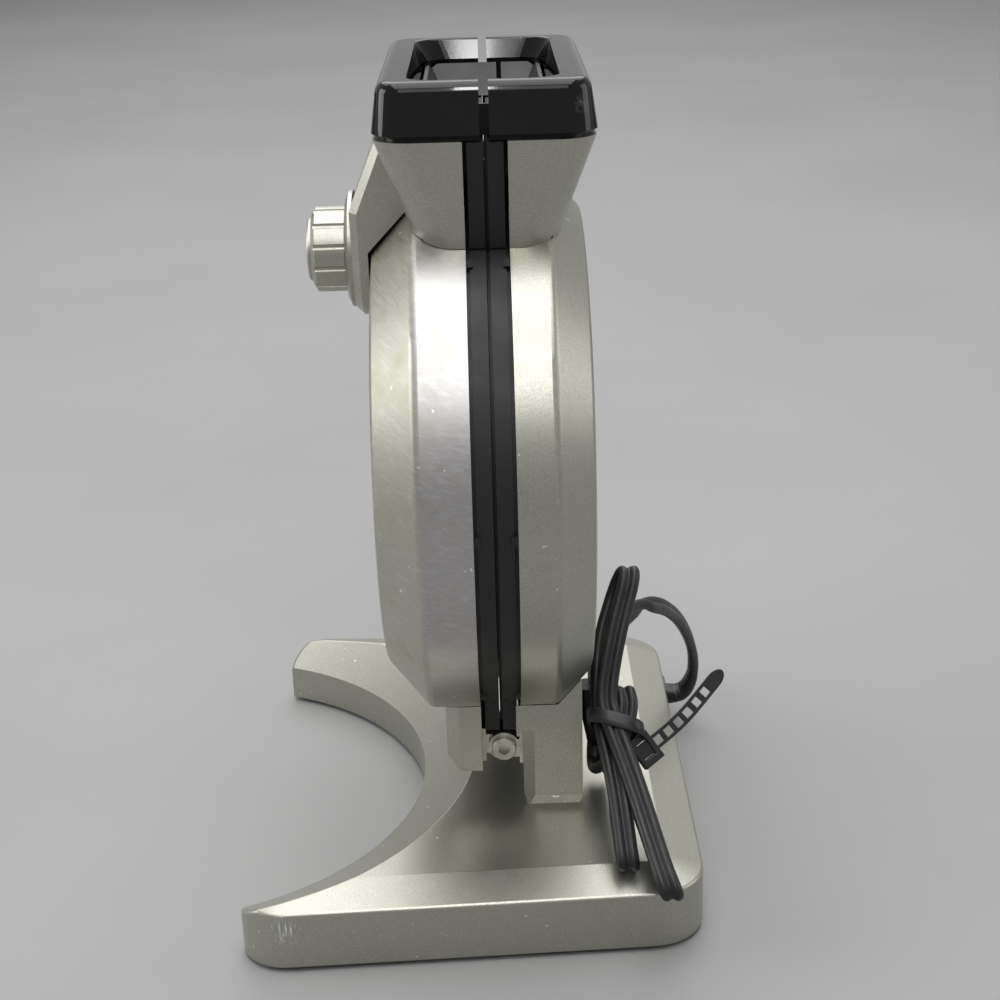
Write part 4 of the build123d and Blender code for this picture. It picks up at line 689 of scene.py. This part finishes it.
def painted_metal(name, level, metallic, rough):
    """Satin metallic paint: a faint cloudiness, fine flakes and pits, dust and one scuffed place."""
    made, tree, shader = material(name)
    dark, light = [grey(level * share, CHAMPAGNE) for share in PAINT_CLOUD_TONES]
    colour = mixed(tree, patches(tree, scale=14, detail=3), dark, light)
    flakes = spread(tree, noise(tree, scale=3100, detail=1), low=0.52, high=0.72)
    colour = mixed(tree, flakes, colour, grey(level * PAINT_FLAKE_TONE, CHAMPAGNE))
    pits = spread(tree, noise(tree, scale=2600, detail=1), low=0.42, high=0.3, out_high=0.5)
    colour = mixed(tree, pits, colour, grey(level * PAINT_PIT_TONE, CHAMPAGNE))
    upright = noise(tree, scale=1500, detail=2, rough=0.6, stretch=SCUFF_STRETCH)
    scratches = spread(tree, upright, low=0.56, high=0.62)
    scuffed = calculated(tree, "MULTIPLY", scratches, near_place(tree, SCUFF_PLACE, SCUFF_REACH))
    link_colour(tree, shader, mixed(tree, scuffed, dusted(tree, colour), grey(SCUFF_TONE)))
    shader.inputs["Metallic"].default_value = metallic
    link_roughness(tree, shader, patches(tree, scale=800, detail=2, low=rough - 0.03, high=rough + 0.04))
    bump(tree, shader, noise(tree, scale=2600, detail=2), strength=0.1, distance=0.0002)
    return made


def steel_painted_reflections(tree):
    """Painted reflections on the one piece of steel: the band's nearly neutral tint and the sloping rim's
    warm one, with a wandering line between them.
    """
    across = node(tree, "ShaderNodeSeparateXYZ", Vector=object_place(tree)).outputs["Y"]
    wander = noise(tree, scale=45, detail=4, rough=0.6)
    wavy = calculated(tree, "MULTIPLY_ADD", wander, STEEL_RIM_WANDER, across)
    starts, full = STEEL_RIM_REFLECTION_FADE
    rim = spread(tree, wavy, low=STEEL_RIM_Y + starts, high=STEEL_RIM_Y + full)
    return mixed(tree, rim, grey(1.0, STEEL_BAND_PAINTED_REFLECTION), grey(1.0, STEEL_RIM_PAINTED_REFLECTION))


def brushed_steel(name, level, rough):
    """Steel brushed in one direction before it was pressed, with water stains on it and painted reflection
    tints on its band and sloping rim.
    """
    made, tree, shader = material(name)
    place = object_place(tree)
    turned = node(tree, "ShaderNodeMapping", Vector=place, Rotation=BRUSH_TURN).outputs["Vector"]
    grain = noise_at(tree, stretched(tree, turned, GRAIN_STRETCH), scale=1500, detail=3, rough=0.6)
    strokes = noise_at(tree, stretched(tree, turned, STROKE_STRETCH), scale=650, detail=1)
    stains = spread(tree, noise(tree, scale=30, detail=5, rough=0.65), low=0.5, high=0.7)
    dark, light = STEEL_GRAIN_TONES
    lines = spread(tree, grain, NOISE_LOW, NOISE_HIGH)
    colour = mixed(tree, lines, grey(level * dark, STEEL_SHADE_TINT), grey(level * light))
    struck = spread(tree, strokes, low=0.55, high=0.72, out_high=0.5)
    colour = mixed(tree, struck, colour, grey(level * STEEL_STROKE_TONE))
    colour = mixed(tree, stains, colour, grey(level * STEEL_STAIN_TONE, STEEL_STAIN_TINT))
    # Multiply in the painted reflection tints of the band and the sloping rim
    painted_reflection_tinted = mixed(tree, 1.0, colour, steel_painted_reflections(tree), "MULTIPLY")
    link_colour(tree, shader, dusted(tree, painted_reflection_tinted))
    shader.inputs["Metallic"].default_value = 1.0
    streaky = spread(tree, grain, low=0.25, high=0.75, out_low=rough - 0.05, out_high=rough + 0.05)
    link_roughness(tree, shader, calculated(tree, "MULTIPLY_ADD", stains, 0.06, streaky))
    bump(tree, shader, grain, strength=0.18, distance=0.0001)
    return made


def black_plastic(name, level, rough, grain):
    """Moulded black plastic with a fine grain and a little dust."""
    made, tree, shader = material(name)
    dust = spread(tree, noise(tree, scale=900, detail=4, rough=0.7), low=0.6, high=0.8, out_high=0.5)
    dusty = grey(level * 4 + 0.02, DUST_TINT)
    link_colour(tree, shader, mixed(tree, dust, grey(level, PLASTIC_TINT), dusty))
    link_roughness(tree, shader, patches(tree, scale=60, detail=4, low=rough - 0.05, high=rough + 0.08))
    bump(tree, shader, noise(tree, scale=1500, detail=3), strength=grain, distance=0.0002)
    return made


def gloss_black(name, level):
    """Polished black plastic with faint smudges and one smeared place."""
    made, tree, shader = material(name)
    faint = spread(tree, noise(tree, scale=35, detail=4, rough=0.6), low=0.5, high=0.75, out_high=0.6)
    colour = mixed(tree, faint, grey(level), grey(level * 3))
    wiped = noise(tree, scale=260, detail=4, rough=0.6)
    streaks = spread(tree, wiped, low=0.42, high=0.6, out_low=0.15, out_high=0.9)
    smeared = calculated(tree, "MULTIPLY", streaks, near_place(tree, SMUDGE_PLACE, SMUDGE_REACH))
    link_colour(tree, shader, mixed(tree, smeared, colour, grey(SMUDGE_TONE)))
    dull = noise(tree, scale=22, detail=5, rough=0.6)
    link_roughness(tree, shader, spread(tree, dull, low=0.35, high=0.75, out_low=0.03, out_high=0.1))
    shader.inputs["Specular IOR Level"].default_value = 0.35
    bump(tree, shader, noise(tree, scale=700, detail=2), strength=0.02, distance=0.0001)
    return made


def plain_metal(name, colour, rough):
    """Bright or dull metal with fine scratches and tarnish."""
    made, tree, shader = material(name)
    tarnished = spread(tree, noise(tree, scale=90, detail=4, rough=0.6), low=0.35, high=0.7)
    darker = [channel * left for channel, left in zip(colour, TARNISH_SHARES)]
    link_colour(tree, shader, mixed(tree, tarnished, (*colour, 1.0), (*darker, 1.0)))
    shader.inputs["Metallic"].default_value = 1.0
    link_roughness(tree, shader, patches(tree, scale=300, detail=3, low=rough - 0.06, high=rough + 0.1))
    bump(tree, shader, noise(tree, scale=1100, detail=3), strength=0.08, distance=0.0001)
    return made


def coated_casting(name, level, rough):
    """Non-stick coating on cast metal: dark, softly speckled."""
    made, tree, shader = material(name)
    speckle = spread(tree, noise(tree, scale=1400, detail=2), low=0.6, high=0.75)
    link_colour(tree, shader, mixed(tree, speckle, grey(level), grey(0.09)))
    link_roughness(tree, shader, patches(tree, scale=220, detail=3, low=rough, high=rough + 0.15))
    bump(tree, shader, noise(tree, scale=900, detail=3), strength=0.2, distance=0.0002)
    return made


def lamp_lens(name, dark, light, rough):
    """Clear red plastic, a little cloudy."""
    made, tree, shader = material(name)
    link_colour(tree, shader, mixed(tree, patches(tree, scale=400, detail=2), dark, light))
    shader.inputs["Roughness"].default_value = rough
    shader.inputs["Coat Weight"].default_value = 0.5
    return made


def circuit_board(name, dark, light, rough):
    """Green board with paler tracks."""
    made, tree, shader = material(name)
    tracks = spread(tree, noise(tree, scale=500, detail=0), low=0.48, high=0.52)
    link_colour(tree, shader, mixed(tree, tracks, dark, light))
    shader.inputs["Roughness"].default_value = rough
    return made


def cord_rubber(name, level, rough):
    """Black flexible cord: soft sheen, fine grain and pale dust."""
    made, tree, shader = material(name)
    dust = spread(tree, noise(tree, scale=500, detail=5, rough=0.7), low=0.5, high=0.85, out_high=0.7)
    link_colour(tree, shader, mixed(tree, dust, grey(level, RUBBER_TINT), grey(level * 5, DUST_TINT)))
    link_roughness(tree, shader, patches(tree, scale=160, detail=4, low=rough, high=rough + 0.16))
    bump(tree, shader, noise(tree, scale=1300, detail=3), strength=0.12, distance=0.0002)
    return made


# Colours as red, green, blue and opacity
LENS_DARK = (0.25, 0.012, 0.008, 1.0)
LENS_LIGHT = (0.36, 0.02, 0.012, 1.0)
BOARD_GREEN = (0.01, 0.07, 0.025, 1.0)
BOARD_TRACKS = (0.02, 0.12, 0.045, 1.0)

# How each material slot of the record is made
FINISHES = {
    "champagne_paint": (painted_metal, {"level": 0.40, "metallic": 0.9, "rough": 0.36}),
    "brushed_steel": (brushed_steel, {"level": 0.47, "rough": 0.41}),
    "gloss_black_plastic": (gloss_black, {"level": 0.002}),
    "black_plastic": (black_plastic, {"level": 0.006, "rough": 0.5, "grain": 0.25}),
    "satin_silver": (painted_metal, {"level": 0.40, "metallic": 0.95, "rough": 0.38}),
    "zinc_steel": (plain_metal, {"colour": (0.55, 0.54, 0.5), "rough": 0.32}),
    "bare_steel": (plain_metal, {"colour": (0.42, 0.41, 0.4), "rough": 0.4}),
    "coated_casting": (coated_casting, {"level": 0.014, "rough": 0.4}),
    "brass": (plain_metal, {"colour": (0.5, 0.32, 0.1), "rough": 0.35}),
    "lamp_lens": (lamp_lens, {"dark": LENS_DARK, "light": LENS_LIGHT, "rough": 0.18}),
    "board": (circuit_board, {"dark": BOARD_GREEN, "light": BOARD_TRACKS, "rough": 0.4}),
    "cord_rubber": (cord_rubber, {"level": 0.006, "rough": 0.36}),
}


def make_materials():
    return {slot: make(slot, **settings) for slot, (make, settings) in FINISHES.items()}


def wear(piece, made):
    piece.data.materials.clear()
    piece.data.materials.append(made)


def dress_nodes(materials):
    """Give each CAD node the material that the record's slot asks for."""
    for part in frame["record"]["subparts"]:
        wear(frame["nodes"][part["node"]], materials[part["material_slot"]])


# The stage: a pale floor, a pale surround and soft lamps

FLOOR_REACH = 6.0
FLOOR_DROP = 0.0003
FLOOR_TONES = (0.34, 0.37)
FLOOR_ROUGH = 0.9
SURROUND_TONE = 0.44
SOFT_TONE = 0.8
SOFT_STRENGTH = 0.16

# Each lamp's name, place, the place it points at, its two sides and its power in watts
LAMPS = [
    ("overhead", (0.1, 0.0, 1.8), (0, 0, 0.15), (1.4, 1.4), 20.0),
    ("key", (1.35, 0.0, 1.45), (0, 0, 0.15), (0.9, 0.9), 4.5),
    ("strip", (1.25, 0.0, 1.6), (0, 0, 0.2), (0.05, 0.8), 3.6),
    ("front_fill", (-0.1, -1.8, 0.8), (0, 0, 0.15), (1.0, 1.0), 12.0),
    ("rear_fill", (0.0, 1.8, 0.8), (0, 0, 0.15), (1.0, 1.0), 5.0),
    ("high_back", (-1.2, 0.0, 1.7), (0, 0, 0.1), (1.2, 1.2), 5.0),
    ("background", (-2.4, 0.0, 1.9), (-2.2, 0, 0), (2.6, 3.2), 40.0),
]


def make_stage():
    bm = bmesh.new()
    bmesh.ops.create_grid(bm, x_segments=2, y_segments=2, size=FLOOR_REACH)
    floor = from_bmesh("floor", bm)
    floor.data.transform(Matrix.Translation((0, 0, -FLOOR_DROP)))
    made, tree, shader = material("floor")
    dark, light = [grey(tone) for tone in FLOOR_TONES]
    link_colour(tree, shader, mixed(tree, patches(tree, scale=3, detail=3), dark, light))
    shader.inputs["Roughness"].default_value = FLOOR_ROUGH
    wear(floor, made)


def make_world():
    """A dim soft light, and a pale surround for what is seen directly, in metal or through glass."""
    world = bpy.data.worlds.new("studio")
    bpy.context.scene.world = world
    world.use_nodes = True
    tree = world.node_tree
    tree.nodes.clear()
    rays = node(tree, "ShaderNodeLightPath").outputs
    direct = calculated(tree, "MAXIMUM", rays["Is Camera Ray"], rays["Is Transmission Ray"])
    seen = calculated(tree, "MAXIMUM", direct, rays["Is Glossy Ray"])
    soft = node(tree, "ShaderNodeBackground", Color=grey(SOFT_TONE), Strength=SOFT_STRENGTH).outputs[0]
    pale = node(tree, "ShaderNodeBackground", Color=grey(SURROUND_TONE), Strength=1.0).outputs[0]
    mix = node(tree, "ShaderNodeMixShader", _0=seen, _1=soft, _2=pale).outputs[0]
    node(tree, "ShaderNodeOutputWorld", Surface=mix)


def make_lamp(name, place, target, size, power):
    data = bpy.data.lights.new(name, "AREA")
    data.shape = "RECTANGLE"
    data.size, data.size_y = size
    data.energy = power
    holder = mesh_object(name, data)
    holder.location = place
    holder.rotation_mode = "QUATERNION"
    holder.rotation_quaternion = (Vector(target) - Vector(place)).to_track_quat("-Z", "Y")


make_camera()
line = cord_line()
ways = width_ways(line, cord_hints(line))
cord = make_cord(line, ways)
relief = make_relief(line, ways)
tie = [make_tie_band(), make_tie_tail(), make_tie_buckle()]
materials = make_materials()
dress_nodes(materials)
for piece in [cord, relief] + tie:
    wear(piece, materials["cord_rubber"])
    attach(piece, "base")
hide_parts("cord_lead", "cord_hank", "cord_plug_lead")
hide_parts("cord_tie")
make_stage()
make_world()
for settings in LAMPS:
    make_lamp(*settings)
bpy.context.scene.view_settings.view_transform = "Standard"
